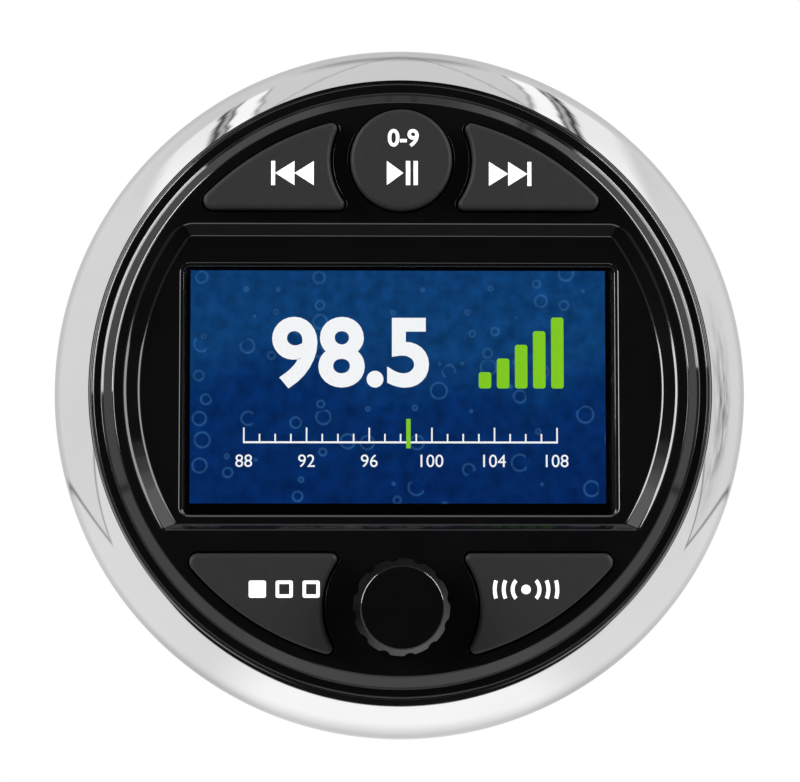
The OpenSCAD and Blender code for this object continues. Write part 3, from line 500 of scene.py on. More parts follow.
def build_ring():
    run, rise = polar(1.0, RING_TURN)
    rx = (RING_R - RING_IN_R) / (1 - run)
    rz = (RING_H - RING_LIFT - RING_EDGE) / rise
    centre = (RING_R - rx, RING_LIFT + RING_EDGE)
    crown = [(centre[0] + rx * c, centre[1] + rz * s) for c, s in arc((0, 0), 1.0, 0, RING_TURN, 40)]
    crown = [p for p in crown if p[0] > RING_IN_R + RING_LIP_ROUND]
    lip = arc((RING_IN_R + RING_LIP_ROUND, crown[-1][1] - RING_LIP_ROUND), RING_LIP_ROUND, 75, 180, 8)
    back = [(RING_IN_R, FLANGE_Z), (RING_SKIRT_R, FLANGE_Z), (RING_SKIRT_R, RING_LIFT)]
    foot_centre = (RING_R - RING_FOOT_ROUND, RING_LIFT + RING_FOOT_ROUND)
    foot = arc(foot_centre, RING_FOOT_ROUND, -90, 0, 5)
    shell = Shell()
    shell.lathe(back + foot + crown + lip, steps=360)
    make_piece("trim_ring_plated", shell, ROOT, "chrome", CHROME, ["trim_ring"])


# Bezel

SIDE_KEYS = {"previous": (UPPER_KEY, -1, 1), "next": (UPPER_KEY, 1, 1), "mode": (LOWER_KEY, -1, -1),
             "band": (LOWER_KEY, 1, -1)}


def side_key(key, inset):
    sizes, sx, sy = SIDE_KEYS[key]
    return mirrored(side_key_outline(*sizes, inset), sx, sy)


def edge_steps(r, steps=5):
    """Rounded edge as pairs of (outward growth, drop)."""
    return arc((r, r), r, 270, 180, steps)


def bend(a, b, c, steps=6):
    """Smooth turn from a to c round the corner b."""
    pairs = []
    for i in range(steps + 1):
        t = i / steps
        pairs.append(tuple((1 - t) ** 2 * p + 2 * t * (1 - t) * q + t * t * r for p, q, r in zip(a, b, c)))
    return pairs


def bevel_steps(upper, lower):
    """Sloping wall with soft ends, as pairs of (share of the run, share of the depth)."""
    top = bend((-upper, 0.0), (0.0, 0.0), (upper, upper))
    return top + bend((1 - lower, 1 - lower), (1.0, 1.0), (1 + lower, 1.0))


def window_steps():
    """Shallow bevel, a lip and a wall that leans back from it, as pairs of (run, drop)."""
    slant = math.hypot(WINDOW_CHAMFER, WINDOW_DROP)
    run, drop = WINDOW_CHAMFER / slant, WINDOW_DROP / slant
    top = bend((-WINDOW_EDGE, 0.0), (0.0, 0.0), (WINDOW_EDGE * run, WINDOW_EDGE * drop))
    before = (WINDOW_CHAMFER - WINDOW_LIP * run, WINDOW_DROP - WINDOW_LIP * drop)
    lip = bend(before, (WINDOW_CHAMFER, WINDOW_DROP), (WINDOW_CHAMFER, WINDOW_DROP + WINDOW_LIP))
    return top + lip + [(WINDOW_CHAMFER - WINDOW_UNDERCUT, FLOOR_Z - BACK_Z)]


def round_hole(centre, r, steps=64):
    return lambda grow: circle(r + grow, centre, steps)


def openings(shell, outlines, mouth_round, mouth_z, end_z):
    """Cuts holes with a rounded mouth; gives their loops at the mouth and at the end."""
    into = math.copysign(1.0, end_z - mouth_z)
    mouths = []
    ends = []
    for outline in outlines:
        rings = [shell.ring(outline(grow), mouth_z + into * drop) for grow, drop in edge_steps(mouth_round)]
        rings.append(shell.ring(outline(0.0), end_z))
        shell.stack(rings)
        mouths.append(rings[0])
        ends.append(rings[-1])
    return mouths, ends


def build_bezel():
    shell = Shell()
    slope = math.degrees(math.atan2(FACE_Z - LEDGE_Z, SLOPE_FOOT_R - SLOPE_TOP_R))
    setback = math.tan(math.radians(slope / 2))
    flange_z = FLANGE_Z - FLANGE_PLAY
    profile = (
        [(CAVITY_R, BACK_Z), (CAVITY_R, SHOULDER_Z), (BEZEL_SEAT_R, SHOULDER_Z), (BEZEL_SEAT_R, SEAT_Z)]
        + [(BEZEL_FLANGE_R, SEAT_Z), (BEZEL_FLANGE_R, flange_z), (BEZEL_R, flange_z)]
        + arc((BEZEL_R - FOOT_ROUND, LEDGE_Z - FOOT_ROUND), FOOT_ROUND, 0, 90, 6)
        + arc((SLOPE_FOOT_R + FOOT_ROUND * setback, LEDGE_Z + FOOT_ROUND), FOOT_ROUND, 270, 270 - slope, 6)
        + arc((SLOPE_TOP_R - SLOPE_ROUND * setback, FACE_Z - SLOPE_ROUND), SLOPE_ROUND, 90 - slope, 90, 10)
    )
    turned = shell.lathe(profile, closed=False)
    outlines = [round_hole((0, PLAY_Y), PLAY_R + KEY_FIT, 96), round_hole((0, KNOB_Y), BUSHING_HOLE_R)]
    outlines += [lambda grow, key=key: side_key(key, -KEY_FIT - grow) for key in SIDE_KEYS]
    front_loops, back_loops = openings(shell, outlines, KEY_LIP, FACE_Z, BACK_Z)
    pocket = []
    for run, drop in bevel_steps(*BEVEL_SOFT):
        outline = clipped_disc(
            POCKET_R - SIDE_BEVEL * run, POCKET_TOP - TOP_BEVEL * run, POCKET_BOTTOM - BOTTOM_BEVEL * run,
            POCKET_CORNER - SIDE_BEVEL * run, POCKET_LOWER_CORNER)
        pocket.append(shell.ring(outline, FACE_Z - (FACE_Z - FLOOR_Z) * drop))
    shell.stack(pocket)
    front_loops.append(pocket[0])
    opening = []
    for run, drop in window_steps():
        sill = WINDOW_SILL * run
        centre = (WINDOW_X, WINDOW_Y + (sill - run) / 2)
        outline = round_rect(WINDOW_W - 2 * run, WINDOW_H - run - sill, WINDOW_CORNER - run, centre)
        opening.append(shell.ring(outline, FLOOR_Z - drop))
    shell.stack(opening)
    back_loops.append(opening[-1])
    shell.plate(turned[-1], *front_loops)
    shell.plate(pocket[-1], opening[0])
    shell.plate(turned[0], *back_loops)
    make_piece("bezel_moulding", shell, ROOT, "gloss_black", GLOSS_BLACK, ["bezel"])


# Keys

def build_keys():
    """Rubber key caps: straight sides, a rolled edge and a flat top."""
    outlines = {key: lambda inset, key=key: side_key(key, inset) for key in SIDE_KEYS}
    outlines["play"] = lambda inset: circle(PLAY_R - inset, (0, PLAY_Y), 128)
    for key, outline in outlines.items():
        shell = Shell()
        rings = [shell.ring(outline(0.0), KEY_BASE_Z)]
        for inset, drop in edge_steps(KEY_ROUND, 8)[::-1]:
            rings.append(shell.ring(outline(inset), KEY_TOP_Z - drop))
        shell.solid(rings)
        make_piece(key + "_cap", shell, key + "_key", "button_rubber", KEY_RUBBER, [key + "_button"])


# Knob

KNOB_FOOT = 1.2
KNOB_FOOT_ROUND = 0.2
KNOB_R = 7.6
KNOB_FACE_R = 6.5
KNOB_EDGE = 0.2
KNOB_CAP_STEP = 0.12
KNOB_DISH = 0.15
KNOB_CAP_LIFT = 0.01
KNOB_BORE_R = 6.27
KNOB_BORE_Z = 17.0
GROOVES = 12
GROOVE_R = 1.0
GROOVE_DEPTH = 0.5
GROOVE_START = -80.4
GROOVE_TOP_Z = 19.0
GROOVE_STEPS = 10
LAND_STEPS = 8
FADED = 0.001
FADED_HALF = 3.0
TAPER_STEPS = 12


def grooved_circle(r, depth):
    """Circle with shallow hollows; every call gives the same number of points."""
    reach = r + GROOVE_R - depth
    cosine = min(1.0, (r * r + reach * reach - GROOVE_R ** 2) / (2 * r * reach))
    half = math.degrees(math.acos(cosine)) if depth > FADED else FADED_HALF
    pitch = 360.0 / GROOVES
    points = []
    for groove in range(GROOVES):
        middle = GROOVE_START + groove * pitch
        for i in range(GROOVE_STEPS):
            turn = half * (2 * i / GROOVE_STEPS - 1)
            along, side = polar(reach, turn)
            dip = along - math.sqrt(max(0.0, GROOVE_R ** 2 - side ** 2))
            points.append((min(r, dip) if depth > FADED else r, middle + turn))
        for i in range(LAND_STEPS):
            points.append((r, middle + half + (pitch - 2 * half) * i / LAND_STEPS))
    return [polar(*point, (0, KNOB_Y)) for point in points]


def build_knob():
    """Tapered knob with a scalloped foot; its face is glossier than its skirt."""
    taper_from = KNOB_Z + KNOB_FOOT
    taper_to = KNOB_TOP_Z - KNOB_EDGE
    levels = [(KNOB_R - KNOB_FOOT_ROUND, KNOB_Z), (KNOB_R, KNOB_Z + KNOB_FOOT_ROUND), (KNOB_R, taper_from)]
    for i in range(1, TAPER_STEPS):
        share = i / TAPER_STEPS
        levels.append((KNOB_R + (KNOB_FACE_R - KNOB_R) * share, taper_from + (taper_to - taper_from) * share))
    skirt = Shell()
    rings = []
    for r, z in levels:
        fade = max(0.0, min(1.0, (GROOVE_TOP_Z - z) / (GROOVE_TOP_Z - taper_from)))
        rings.append(skirt.ring(grooved_circle(r, GROOVE_DEPTH * fade), z))
    seat = KNOB_FACE_R - KNOB_CAP_STEP
    seat_z = taper_to - KNOB_CAP_STEP
    for r, z in ((KNOB_FACE_R, taper_to), (seat, taper_to), (seat, seat_z)):
        rings.append(skirt.ring(grooved_circle(r, 0.0), z))
    skirt.stack(rings)
    skirt.plate(rings[-1])
    bore = [(KNOB_BORE_R, KNOB_Z), (KNOB_BORE_R, KNOB_BORE_Z)]
    inner = skirt.lathe(bore, (0, KNOB_Y), closed=False, steps=len(rings[0]))
    skirt.plate(inner[-1])
    skirt.plate(rings[0], inner[0])
    make_piece("volume_knob_grip", skirt, "knob", "gloss_black", KNOB_RUBBER, ["volume_knob"])
    cap = Shell()
    edge = arc((seat - KNOB_EDGE, KNOB_TOP_Z - KNOB_EDGE), KNOB_EDGE, 0, 90, 8)
    dish = [(seat * share, KNOB_TOP_Z - KNOB_DISH * (1 - share ** 2)) for share in (0.8, 0.6, 0.4, 0.2)]
    profile = [(seat, seat_z + KNOB_CAP_LIFT)] + edge + dish
    cap.caps(cap.lathe(profile, (0, KNOB_Y), closed=False, steps=192))
    make_piece("volume_knob_cap", cap, "knob", "gloss_black", GLOSS_BLACK)


# Signs printed on the keys

PRINT_T = 0.03
PRINT_SINK = 0.005
SIGN_H = 3.85
SKIP_BAR = 0.62
SKIP_ARROW = 3.05
PLAY_LEFT = -2.45
PLAY_ARROW = 2.6
PAUSE_BAR = 0.68
PAUSE_GAPS = (0.42, 1.62)
TAB_SIDE = 2.7
TAB_PITCH = 4.2
TAB_RIM = 0.55
TAB_CORNER = 0.3
TAB_INNER_CORNER = 0.12
WAVE_DOT_R = 0.75
WAVE_RADII = (2.1, 3.5, 4.9)
WAVE_HALF_T = 0.3
WAVE_HALF_H = 1.4
SIGN_AT = {"previous": (-17.2, 33.85), "next": (17.2, 33.8), "play": (0.15, 33.9), "mode": (-18.3, -31.7),
           "band": (19.5, -31.75)}
PRESET_AT = (0.3, 39.5)
PRESET_H = 2.85
PRESET_BOLD = 0.025


def box_outline(x0, y0, x1, y1):
    return [(x0, y0), (x1, y0), (x1, y1), (x0, y1)]


def moved(outline, dx, dy):
    return [(x + dx, y + dy) for x, y in outline]


def raised(name, shapes, ink, spot=(0.0, 0.0), thickness=PRINT_T):
    """Flat print about a spot; a shape is a loop and its holes, ink is (height, body, slot, material)."""
    z, *finish = ink
    shell = Shell()
    for shape in shapes:
        loops = [moved(loop, *spot) for loop in shape]
        low = [shell.ring(loop, z) for loop in loops]
        high = [shell.ring(loop, z + thickness) for loop in loops]
        for one, other in zip(low, high):
            shell.wall(one, other)
        shell.plate(*low)
        shell.plate(*high)
    make_piece(name, shell, *finish)


def skip_sign(flip):
    """A bar and two arrows that point at it, to the left or flipped."""
    half = SIGN_H / 2
    left = -(SKIP_BAR + 2 * SKIP_ARROW) / 2
    loops = [box_outline(left, -half, left + SKIP_BAR, half)]
    for i in range(2):
        tip = left + SKIP_BAR + i * SKIP_ARROW
        loops.append([(tip, 0), (tip + SKIP_ARROW, -half), (tip + SKIP_ARROW, half)])
    return [[mirrored(loop, flip, 1)] for loop in loops]


def play_sign():
    """Arrow and two bars."""
    half = SIGN_H / 2
    tip = PLAY_LEFT + PLAY_ARROW
    arrow = [(PLAY_LEFT, -half), (tip, 0), (PLAY_LEFT, half)]
    return [[arrow]] + [[box_outline(tip + gap, -half, tip + gap + PAUSE_BAR, half)] for gap in PAUSE_GAPS]


def tab_sign():
    """Three small squares in a row, the first one filled."""
    hole = TAB_SIDE - 2 * TAB_RIM
    shapes = []
    for i in (-1, 0, 1):
        middle = (i * TAB_PITCH, 0)
        shapes.append([round_rect(TAB_SIDE, TAB_SIDE, TAB_CORNER, middle, 4)])
        if i >= 0:
            shapes[-1].append(round_rect(hole, hole, TAB_INNER_CORNER, middle, 4))
    return shapes


def wave_sign():
    """Dot with three arcs on each side."""
    shapes = [[circle(WAVE_DOT_R, steps=32)]]
    for r in WAVE_RADII:
        reach = math.degrees(math.asin(WAVE_HALF_H / r))
        bow = arc((0, 0), r + WAVE_HALF_T, -reach, reach, 14)
        bow += arc((0, 0), r - WAVE_HALF_T, reach, -reach, 14)
        shapes += [[bow], [mirrored(bow, -1, 1)]]
    return shapes


def lettering(name, words, height, spot, ink, bold=0.0):
    """Plain numerals; height is the height of a digit, and spot its centre."""
    curve = bpy.data.curves.new(name, "FONT")
    curve.body = words
    curve.offset = bold
    curve.resolution_u = 6
    source = bpy.data.objects.new(name + "_source", curve)
    scene.collection.objects.link(source)
    flat = source.evaluated_get(bpy.context.evaluated_depsgraph_get()).to_mesh()
    points = [v.co.copy() for v in flat.vertices]
    faces = [tuple(f.vertices) for f in flat.polygons]
    bpy.data.objects.remove(source)
    low = [min(p[k] for p in points) for k in (0, 1)]
    high = [max(p[k] for p in points) for k in (0, 1)]
    scale = height / (high[1] - low[1])
    z, *finish = ink
    shell = Shell()
    for lift in (0.0, PRINT_T):
        shell.points += [(spot[0] + (p.x - (low[0] + high[0]) / 2) * scale,
                          spot[1] + (p.y - (low[1] + high[1]) / 2) * scale, z + lift) for p in points]
    count = len(points)
    shell.faces = faces + [tuple(count + i for i in f) for f in faces]
    edges = dict.fromkeys(pair for f in faces for pair in zip(f, f[1:] + f[:1]))
    for one, other in edges:
        if (other, one) not in edges:
            shell.faces.append((one, other, count + other, count + one))
    make_piece(name, shell, *finish)


def build_signs():
    top = KEY_TOP_Z - PRINT_SINK
    signs = {"previous": skip_sign(1), "next": skip_sign(-1), "play": play_sign(), "mode": tab_sign(),
             "band": wave_sign()}
    for key, shapes in signs.items():
        ink = (top, key + "_key", "button_rubber", PRINT_PAINTED_GLOW)
        raised(key + "_sign", shapes, ink, SIGN_AT[key])
        if key == "play":
            lettering("preset_range", "0-9", PRESET_H, PRESET_AT, ink, PRESET_BOLD)


# Graphics on the display

NUMBER_AT = (-8.0, 6.0)
NUMBER_H = 11.5
NUMBER_BOLD = 0.03
BARS = 5
BAR_X = 13.5
BAR_Y = 0.3
BAR_PITCH = 2.9
BAR_W = 2.0
BAR_H = 2.6
BAR_RISE = 2.2
BAR_CORNER = 0.4
BAND_FROM = 88
BAND_TO = 108
BAND_STEP = 4
TUNED = 98.5
SCALE_W = 50.0
SCALE_Y = -8.2
SCALE_T = 0.3
TICK_T = 0.24
TICK_H = 1.2
LONG_TICK_H = 2.2
SCALE_NUMBER_Y = -11.3
SCALE_NUMBER_H = 2.0
NEEDLE_T = 0.7
NEEDLE_Y = (-9.3, -4.6)
NEEDLE_LIFT = 0.01
NEEDLE_RAISED = 0.04


def scale_x(number):
    """Place of a number on the tuning scale."""
    return SCALE_W * ((number - BAND_FROM) / (BAND_TO - BAND_FROM) - 0.5)


def build_graphics():
    """Plain numerals, level bars and a tuning scale, lit from the display."""
    z = LCD_TOP_Z + PRINT_SINK
    white = (z, ROOT, "screen", SCREEN_WHITE)
    green = (z, ROOT, "screen", SCREEN_GREEN)
    lettering("tuned_number", str(TUNED), NUMBER_H, NUMBER_AT, white, NUMBER_BOLD)
    bars = []
    for i in range(BARS):
        height = BAR_H + i * BAR_RISE
        bars.append([round_rect(BAR_W, height, BAR_CORNER, (BAR_X + i * BAR_PITCH, BAR_Y + height / 2), 4)])
    raised("level_bars", bars, green)
    end = (SCALE_W + TICK_T) / 2
    ticks = []
    for number in range(BAND_FROM, BAND_TO + 1):
        x = scale_x(number)
        height = TICK_H if (number - BAND_FROM) % BAND_STEP else LONG_TICK_H
        ticks.append([box_outline(x - TICK_T / 2, SCALE_Y, x + TICK_T / 2, SCALE_Y + height)])
    ticks.append([box_outline(-end, SCALE_Y - SCALE_T, end, SCALE_Y)])
    raised("tuning_scale", ticks, white)
    for number in range(BAND_FROM, BAND_TO + 1, BAND_STEP):
        spot = (scale_x(number), SCALE_NUMBER_Y)
        lettering("scale_number_" + str(number), str(number), SCALE_NUMBER_H, spot, white)
    needle = scale_x(TUNED)
    pointer = box_outline(needle - NEEDLE_T / 2, NEEDLE_Y[0], needle + NEEDLE_T / 2, NEEDLE_Y[1])
    raised("tuning_needle", [[pointer]], (z + NEEDLE_LIFT, *green[1:]), thickness=NEEDLE_RAISED)


# Rear cover

COVER_Z = -50.8
COVER_BACK_Z = -54.8
COVER_R = 43.0
COVER_EDGE = 0.7
HOLE_EDGE = 0.25
OVERLAP = 0.2
QUARTERS = (45, 135, 225, 315)
SCREW_AT = 38.6
SCREW_HOLE_R = 1.6
STUD_X = 30.0
STUD_HOLE_R = 3.05
ANTENNA_AT = (-15.0, -6.0)
ANTENNA_HOLE_R = 5.65
JACKS_AT = ((4.0, -6.0), (17.0, -6.0))
JACK_HOLE_R = 4.25
SOCKET_AT = (0.0, -26.0)
SOCKET_W = 26.0
SOCKET_H = 12.0
SOCKET_CORNER = 0.8
SOCKET_FIT = 0.1
SPIGOT_R = 41.5
SPIGOT_IN_R = 39.0
SPIGOT_H = 3.0
SPIGOT_GAP = 6.0
CHIP_PAD_AT = (19.0, 22.0)
CHIP_PAD_R = 3.0
CHIP_PAD_H = 4.8
CLAMP_HOLE_R = 1.55
FINS = 10
FIN_T = 1.6
FIN_PITCH = 4.6
FIN_H = 8.0
FIN_FOOT_Y = 8.0
FIN_REACH = 38.0
FIN_FILLET = 0.6
FIN_TIP = 0.55
FIN_DRAFT = 0.12


def socket_outline(grow, corner, steps):
    return round_rect(SOCKET_W + 2 * grow, SOCKET_H + 2 * grow, corner, SOCKET_AT, steps)


def cover_openings():
    """Openings through the cover, each as an outline that can grow."""
    holes = [round_hole(polar(SCREW_AT, angle), SCREW_HOLE_R) for angle in QUARTERS]
    holes += [round_hole((side * STUD_X, 0), STUD_HOLE_R) for side in (-1, 1)]
    holes.append(round_hole(ANTENNA_AT, ANTENNA_HOLE_R))
    holes += [round_hole(spot, JACK_HOLE_R) for spot in JACKS_AT]
    holes.append(lambda grow: socket_outline(SOCKET_FIT + grow, SOCKET_CORNER + grow, 8))
    return holes


def fin_outline(x, grow):
    """Plan of a cooling fin with round ends, its far end on the round of the fin block."""
    half = FIN_T / 2 + grow
    far = math.sqrt(FIN_REACH ** 2 - (abs(x) + FIN_T / 2) ** 2) - FIN_T / 2
    near = FIN_FOOT_Y + FIN_T / 2
    return arc((x, far), half, 0, 180, 10) + arc((x, near), half, 180, 360, 10)


def tube(inner, outer, low, high):
    """Profile of a plain tube."""
    return [(inner, low), (outer, low), (outer, high), (inner, high)]


def build_rear_cover():
    """Cast cover: a plate with soft edges, drafted fins, a broken spigot and two clamp pads."""
    shell = Shell()
    edge = arc((COVER_R - COVER_EDGE, COVER_BACK_Z + COVER_EDGE), COVER_EDGE, 0, -90, 6)
    turned = shell.lathe([(COVER_R, COVER_Z)] + edge, closed=False)
    back_loops, front_loops = openings(shell, cover_openings(), HOLE_EDGE, COVER_BACK_Z, COVER_Z)
    shell.plate(turned[-1], *back_loops)
    shell.plate(turned[0], *front_loops)
    tip_z = COVER_BACK_Z - FIN_H
    for i in range(FINS):
        x = (i - (FINS - 1) / 2) * FIN_PITCH
        levels = [(FIN_FILLET, COVER_BACK_Z + OVERLAP)]
        levels += [(grow, COVER_BACK_Z - rise) for grow, rise in edge_steps(FIN_FILLET)]
        levels += [(-FIN_DRAFT - inset, tip_z + drop) for inset, drop in edge_steps(FIN_TIP)[::-1]]
        shell.solid([shell.ring(fin_outline(x, grow), z) for grow, z in levels])
    for angle in QUARTERS:
        ends = (angle + SPIGOT_GAP, angle + 90 - SPIGOT_GAP)
        segment = arc((0, 0), SPIGOT_R, *ends, 36) + arc((0, 0), SPIGOT_IN_R, *ends[::-1], 36)
        shell.solid([shell.ring(segment, z) for z in (COVER_Z - OVERLAP, COVER_Z + SPIGOT_H)])
    pad = tube(CLAMP_HOLE_R, CHIP_PAD_R, COVER_Z - OVERLAP, COVER_Z + CHIP_PAD_H)
    for side in (-1, 1):
        shell.lathe(pad, (side * CHIP_PAD_AT[0], CHIP_PAD_AT[1]), steps=48)
    make_piece("rear_cover_casting", shell, ROOT, "cover_cast", COVER_CAST, ["rear_cover"])


# Fasteners on the rear

HEAD_R = 2.7
HEAD_H = 1.8
HEAD_EDGE = 0.8
HEAD_FLAT_R = 1.75
SHAFT_R = 1.5
SHAFT_L = 11.8
CROSS_REACH = 1.3
CROSS_HALF = 0.32
CROSS_DEPTH = 1.1
CROSS_END_REACH = 0.78
CROSS_END_HALF = 0.256
FIRST_TURN = 17
NEXT_TURN = 31
STUD_R = 2.5
STUD_SHANK_R = 3.0
STUD_HEAD_R = 5.0
STUD_HEAD_T = 1.5
STUD_L = 30.0
STUD_CHAMFER = 0.9
THREAD_PITCH = 0.8
THREAD_DEPTH = 0.42
THREAD_RUNOUT = 1.2
THREAD_FLANK = 1.25
THREAD_CREST = 0.125
THREAD_RINGS = 6
THREAD_STEPS = 30


def cross_outline(reach, half, turn, centre):
    """Loop round a cross that is turned about its centre."""
    points = []
    for quarter in range(4):
        c, s = polar(1.0, turn + 90 * quarter)
        points += [(x * c - y * s, x * s + y * c) for x, y in ((reach, -half), (reach, half), (half, half))]
    return moved(points, *centre)


def build_cover_screws():
    """Pan-head screws with a cross recess, each stopped at another turn."""
    shell = Shell()
    top_z = COVER_BACK_Z - HEAD_H
    profile = [(SHAFT_R, COVER_BACK_Z + SHAFT_L), (SHAFT_R, COVER_BACK_Z), (HEAD_R, COVER_BACK_Z)]
    for out, rise in arc((0, 0), 1.0, 0, 90, 8):
        r = HEAD_FLAT_R + out * (HEAD_R - HEAD_FLAT_R)
        profile.append((r, COVER_BACK_Z - HEAD_EDGE - rise * (HEAD_H - HEAD_EDGE)))
    for i, angle in enumerate(QUARTERS):
        centre = polar(SCREW_AT, angle)
        turned = shell.lathe(profile, centre, closed=False, steps=48)
        turn = FIRST_TURN + NEXT_TURN * i
        mouth = cross_outline(CROSS_REACH, CROSS_HALF, turn, centre)
        end = cross_outline(CROSS_END_REACH, CROSS_END_HALF, turn, centre)
        recess = [shell.ring(mouth, top_z), shell.ring(end, top_z + CROSS_DEPTH)]
        shell.stack(recess)
        shell.plate(recess[-1])
        shell.plate(turned[-1], recess[0])
        shell.plate(turned[0])
    make_piece("cover_screw_heads", shell, ROOT, "steel", STEEL, ["cover_screws"])


def thread_ring(centre, from_tip):
    """One turn's outline at a distance from a stud's tip: a ridge that climbs once round per pitch."""
    chamfer = max(0.0, STUD_CHAMFER - from_tip)
    fade = min(1.0, (STUD_L - from_tip) / THREAD_RUNOUT)
    points = []
    for i in range(THREAD_STEPS):
        share = i / THREAD_STEPS
        phase = (from_tip / THREAD_PITCH + share) % 1.0
        hollow = min(1.0, max(0.0, THREAD_FLANK * (1 - abs(2 * phase - 1)) - THREAD_CREST))
        r = min(STUD_R - THREAD_DEPTH * hollow * fade, STUD_R - chamfer)
        points.append(polar(r, 360 * share, centre))
    return points


def build_studs():
    """Threaded studs with a thicker shank in the cover and a flat head inside."""
    shell = Shell()
    count = int(STUD_L / THREAD_PITCH * THREAD_RINGS)
    tip_z = COVER_BACK_Z - STUD_L
    for side in (-1, 1):
        centre = (side * STUD_X, 0)
        heights = [STUD_L * i / count for i in range(count + 1)]
        rings = [shell.ring(thread_ring(centre, height), tip_z + height) for height in heights]
        shank = [(STUD_SHANK_R - HOLE_EDGE, COVER_BACK_Z), (STUD_SHANK_R, COVER_BACK_Z + HOLE_EDGE),
                 (STUD_SHANK_R, COVER_Z), (STUD_HEAD_R, COVER_Z), (STUD_HEAD_R, COVER_Z + STUD_HEAD_T)]
        rings += [shell.ring(circle(r, centre, THREAD_STEPS), z) for r, z in shank]
        shell.solid(rings)
    make_piece("threaded_studs", shell, ROOT, "steel", STEEL, ["mounting_studs"], sharp=50.0)


# Sockets on the rear

SOCKET_WALL = 1.5
SOCKET_REACH = 8.0
SOCKET_FLANGE = 1.6
SOCKET_FLANGE_T = 1.8
SOCKET_BASE = 3.0
SOCKET_ROUND = 0.35
SOCKET_FLARE = 0.45
SOCKET_INNER_CORNER = 0.3
JACK_R = 4.15
JACK_CORE_R = 3.2
JACK_PIN_R = 1.6
JACK_SLEEVE_R = 1.15
JACK_COLLAR_R = 5.45
JACK_COLLAR_T = 2.0
JACK_REACH = 9.0
JACK_SINK = 1.0
JACK_FLANGE_Z = -49.3
ANTENNA_R = 5.55
ANTENNA_BORE_R = 4.05
ANTENNA_FLANGE_R = 7.05
ANTENNA_DEPTH = 14.0
ANTENNA_CAP = 0.5
ANTENNA_PIN_R = 2.0
ANTENNA_PIN_BORE_R = 1.5
ANTENNA_PIN_L = 9.0
RIM_ROUND = 0.3


def build_harness_socket():
    """Wiring socket: a thin box with a flared mouth and a flange behind the cover."""
    mouth_z = COVER_BACK_Z - SOCKET_REACH
    floor_z = COVER_Z + SOCKET_FLANGE_T - SOCKET_BASE
    inner = SOCKET_INNER_CORNER
    levels = [(-SOCKET_WALL, inner, floor_z), (-SOCKET_WALL, inner, mouth_z + SOCKET_FLARE),
              (SOCKET_FLARE - SOCKET_WALL, inner + SOCKET_FLARE, mouth_z)]
    levels += [(-inset, SOCKET_CORNER - inset, mouth_z + drop) for inset, drop in edge_steps(SOCKET_ROUND)]
    levels += [(0.0, SOCKET_CORNER, COVER_Z), (SOCKET_FLANGE, SOCKET_CORNER, COVER_Z),
               (SOCKET_FLANGE, SOCKET_CORNER, COVER_Z + SOCKET_FLANGE_T)]
    shell = Shell()
    shell.solid([shell.ring(socket_outline(grow, corner, 6), z) for grow, corner, z in levels])
    make_piece("harness_housing", shell, ROOT, "white_plastic", NYLON, ["harness_socket"])


def rim(outer, inner, z):
    """Rounded end of a tube, from its bore out to its side."""
    bore = arc((inner + RIM_ROUND, z + RIM_ROUND), RIM_ROUND, 180, 270, 5)
    side = arc((outer - RIM_ROUND, z + RIM_ROUND), RIM_ROUND, 270, 360, 5)
    return bore + side


def build_signal_jacks():
    """Two coaxial jacks: plated shells and centre sleeves on a white core and a red one."""
    collar_z = COVER_BACK_Z - JACK_COLLAR_T
    tip_z = collar_z - JACK_REACH
    core_z = tip_z + JACK_SINK
    core = (
        [(JACK_PIN_R, COVER_BACK_Z)] + rim(JACK_CORE_R, JACK_PIN_R, core_z)
        + [(JACK_CORE_R, collar_z), (JACK_COLLAR_R - RIM_ROUND, collar_z)]
        + [(JACK_COLLAR_R, collar_z + RIM_ROUND), (JACK_COLLAR_R, COVER_BACK_Z), (JACK_R, COVER_BACK_Z)]
        + [(JACK_R, COVER_Z), (JACK_COLLAR_R, COVER_Z), (JACK_COLLAR_R, JACK_FLANGE_Z)]
    )
    outer = [(JACK_CORE_R, collar_z)] + rim(JACK_R, JACK_CORE_R, tip_z) + [(JACK_R, collar_z)]
    sleeve = rim(JACK_PIN_R, JACK_SLEEVE_R - RIM_ROUND / 2, core_z + JACK_SINK)
    sleeve = [(sleeve[0][0], COVER_BACK_Z)] + sleeve + [(JACK_PIN_R, COVER_BACK_Z)]
    plated = Shell()
    stands_for = ["signal_jack_cores"]
    for spot, name, finish in zip(JACKS_AT, ("white", "red"), (JACK_WHITE, JACK_RED)):
        plated.lathe(outer, spot, steps=96)
        plated.lathe(sleeve, spot, steps=48)
        shell = Shell()
        shell.caps(shell.lathe(core, spot, closed=False, steps=96))
        make_piece("signal_core_" + name, shell, ROOT, "jack_core", finish, stands_for)
        stands_for = []
    make_piece("signal_shells", plated, ROOT, "brass", BRASS, ["signal_jack_shells"])


def build_antenna_jack():
    """Deep round socket with a hollow contact standing on its floor."""
    floor_z = JACK_FLANGE_Z - ANTENNA_CAP
    end_z = floor_z - ANTENNA_DEPTH
    shell = Shell()
    body = (
        [(ANTENNA_BORE_R, floor_z)] + rim(ANTENNA_R, ANTENNA_BORE_R, end_z)
        + [(ANTENNA_R, COVER_Z), (ANTENNA_FLANGE_R, COVER_Z), (ANTENNA_FLANGE_R, JACK_FLANGE_Z)]
    )
    shell.caps(shell.lathe(body, ANTENNA_AT, closed=False, steps=96))
    contact = tube(ANTENNA_PIN_BORE_R, ANTENNA_PIN_R, floor_z - ANTENNA_PIN_L, floor_z + ANTENNA_CAP / 2)
    shell.lathe(contact, ANTENNA_AT, steps=48)
    make_piece("antenna_socket", shell, ROOT, "steel", STEEL, ["antenna_jack"])


build_ring()
build_bezel()
build_keys()
build_knob()
build_signs()
build_graphics()
build_rear_cover()
build_cover_screws()
build_studs()
build_harness_socket()
build_signal_jacks()
build_antenna_jack()

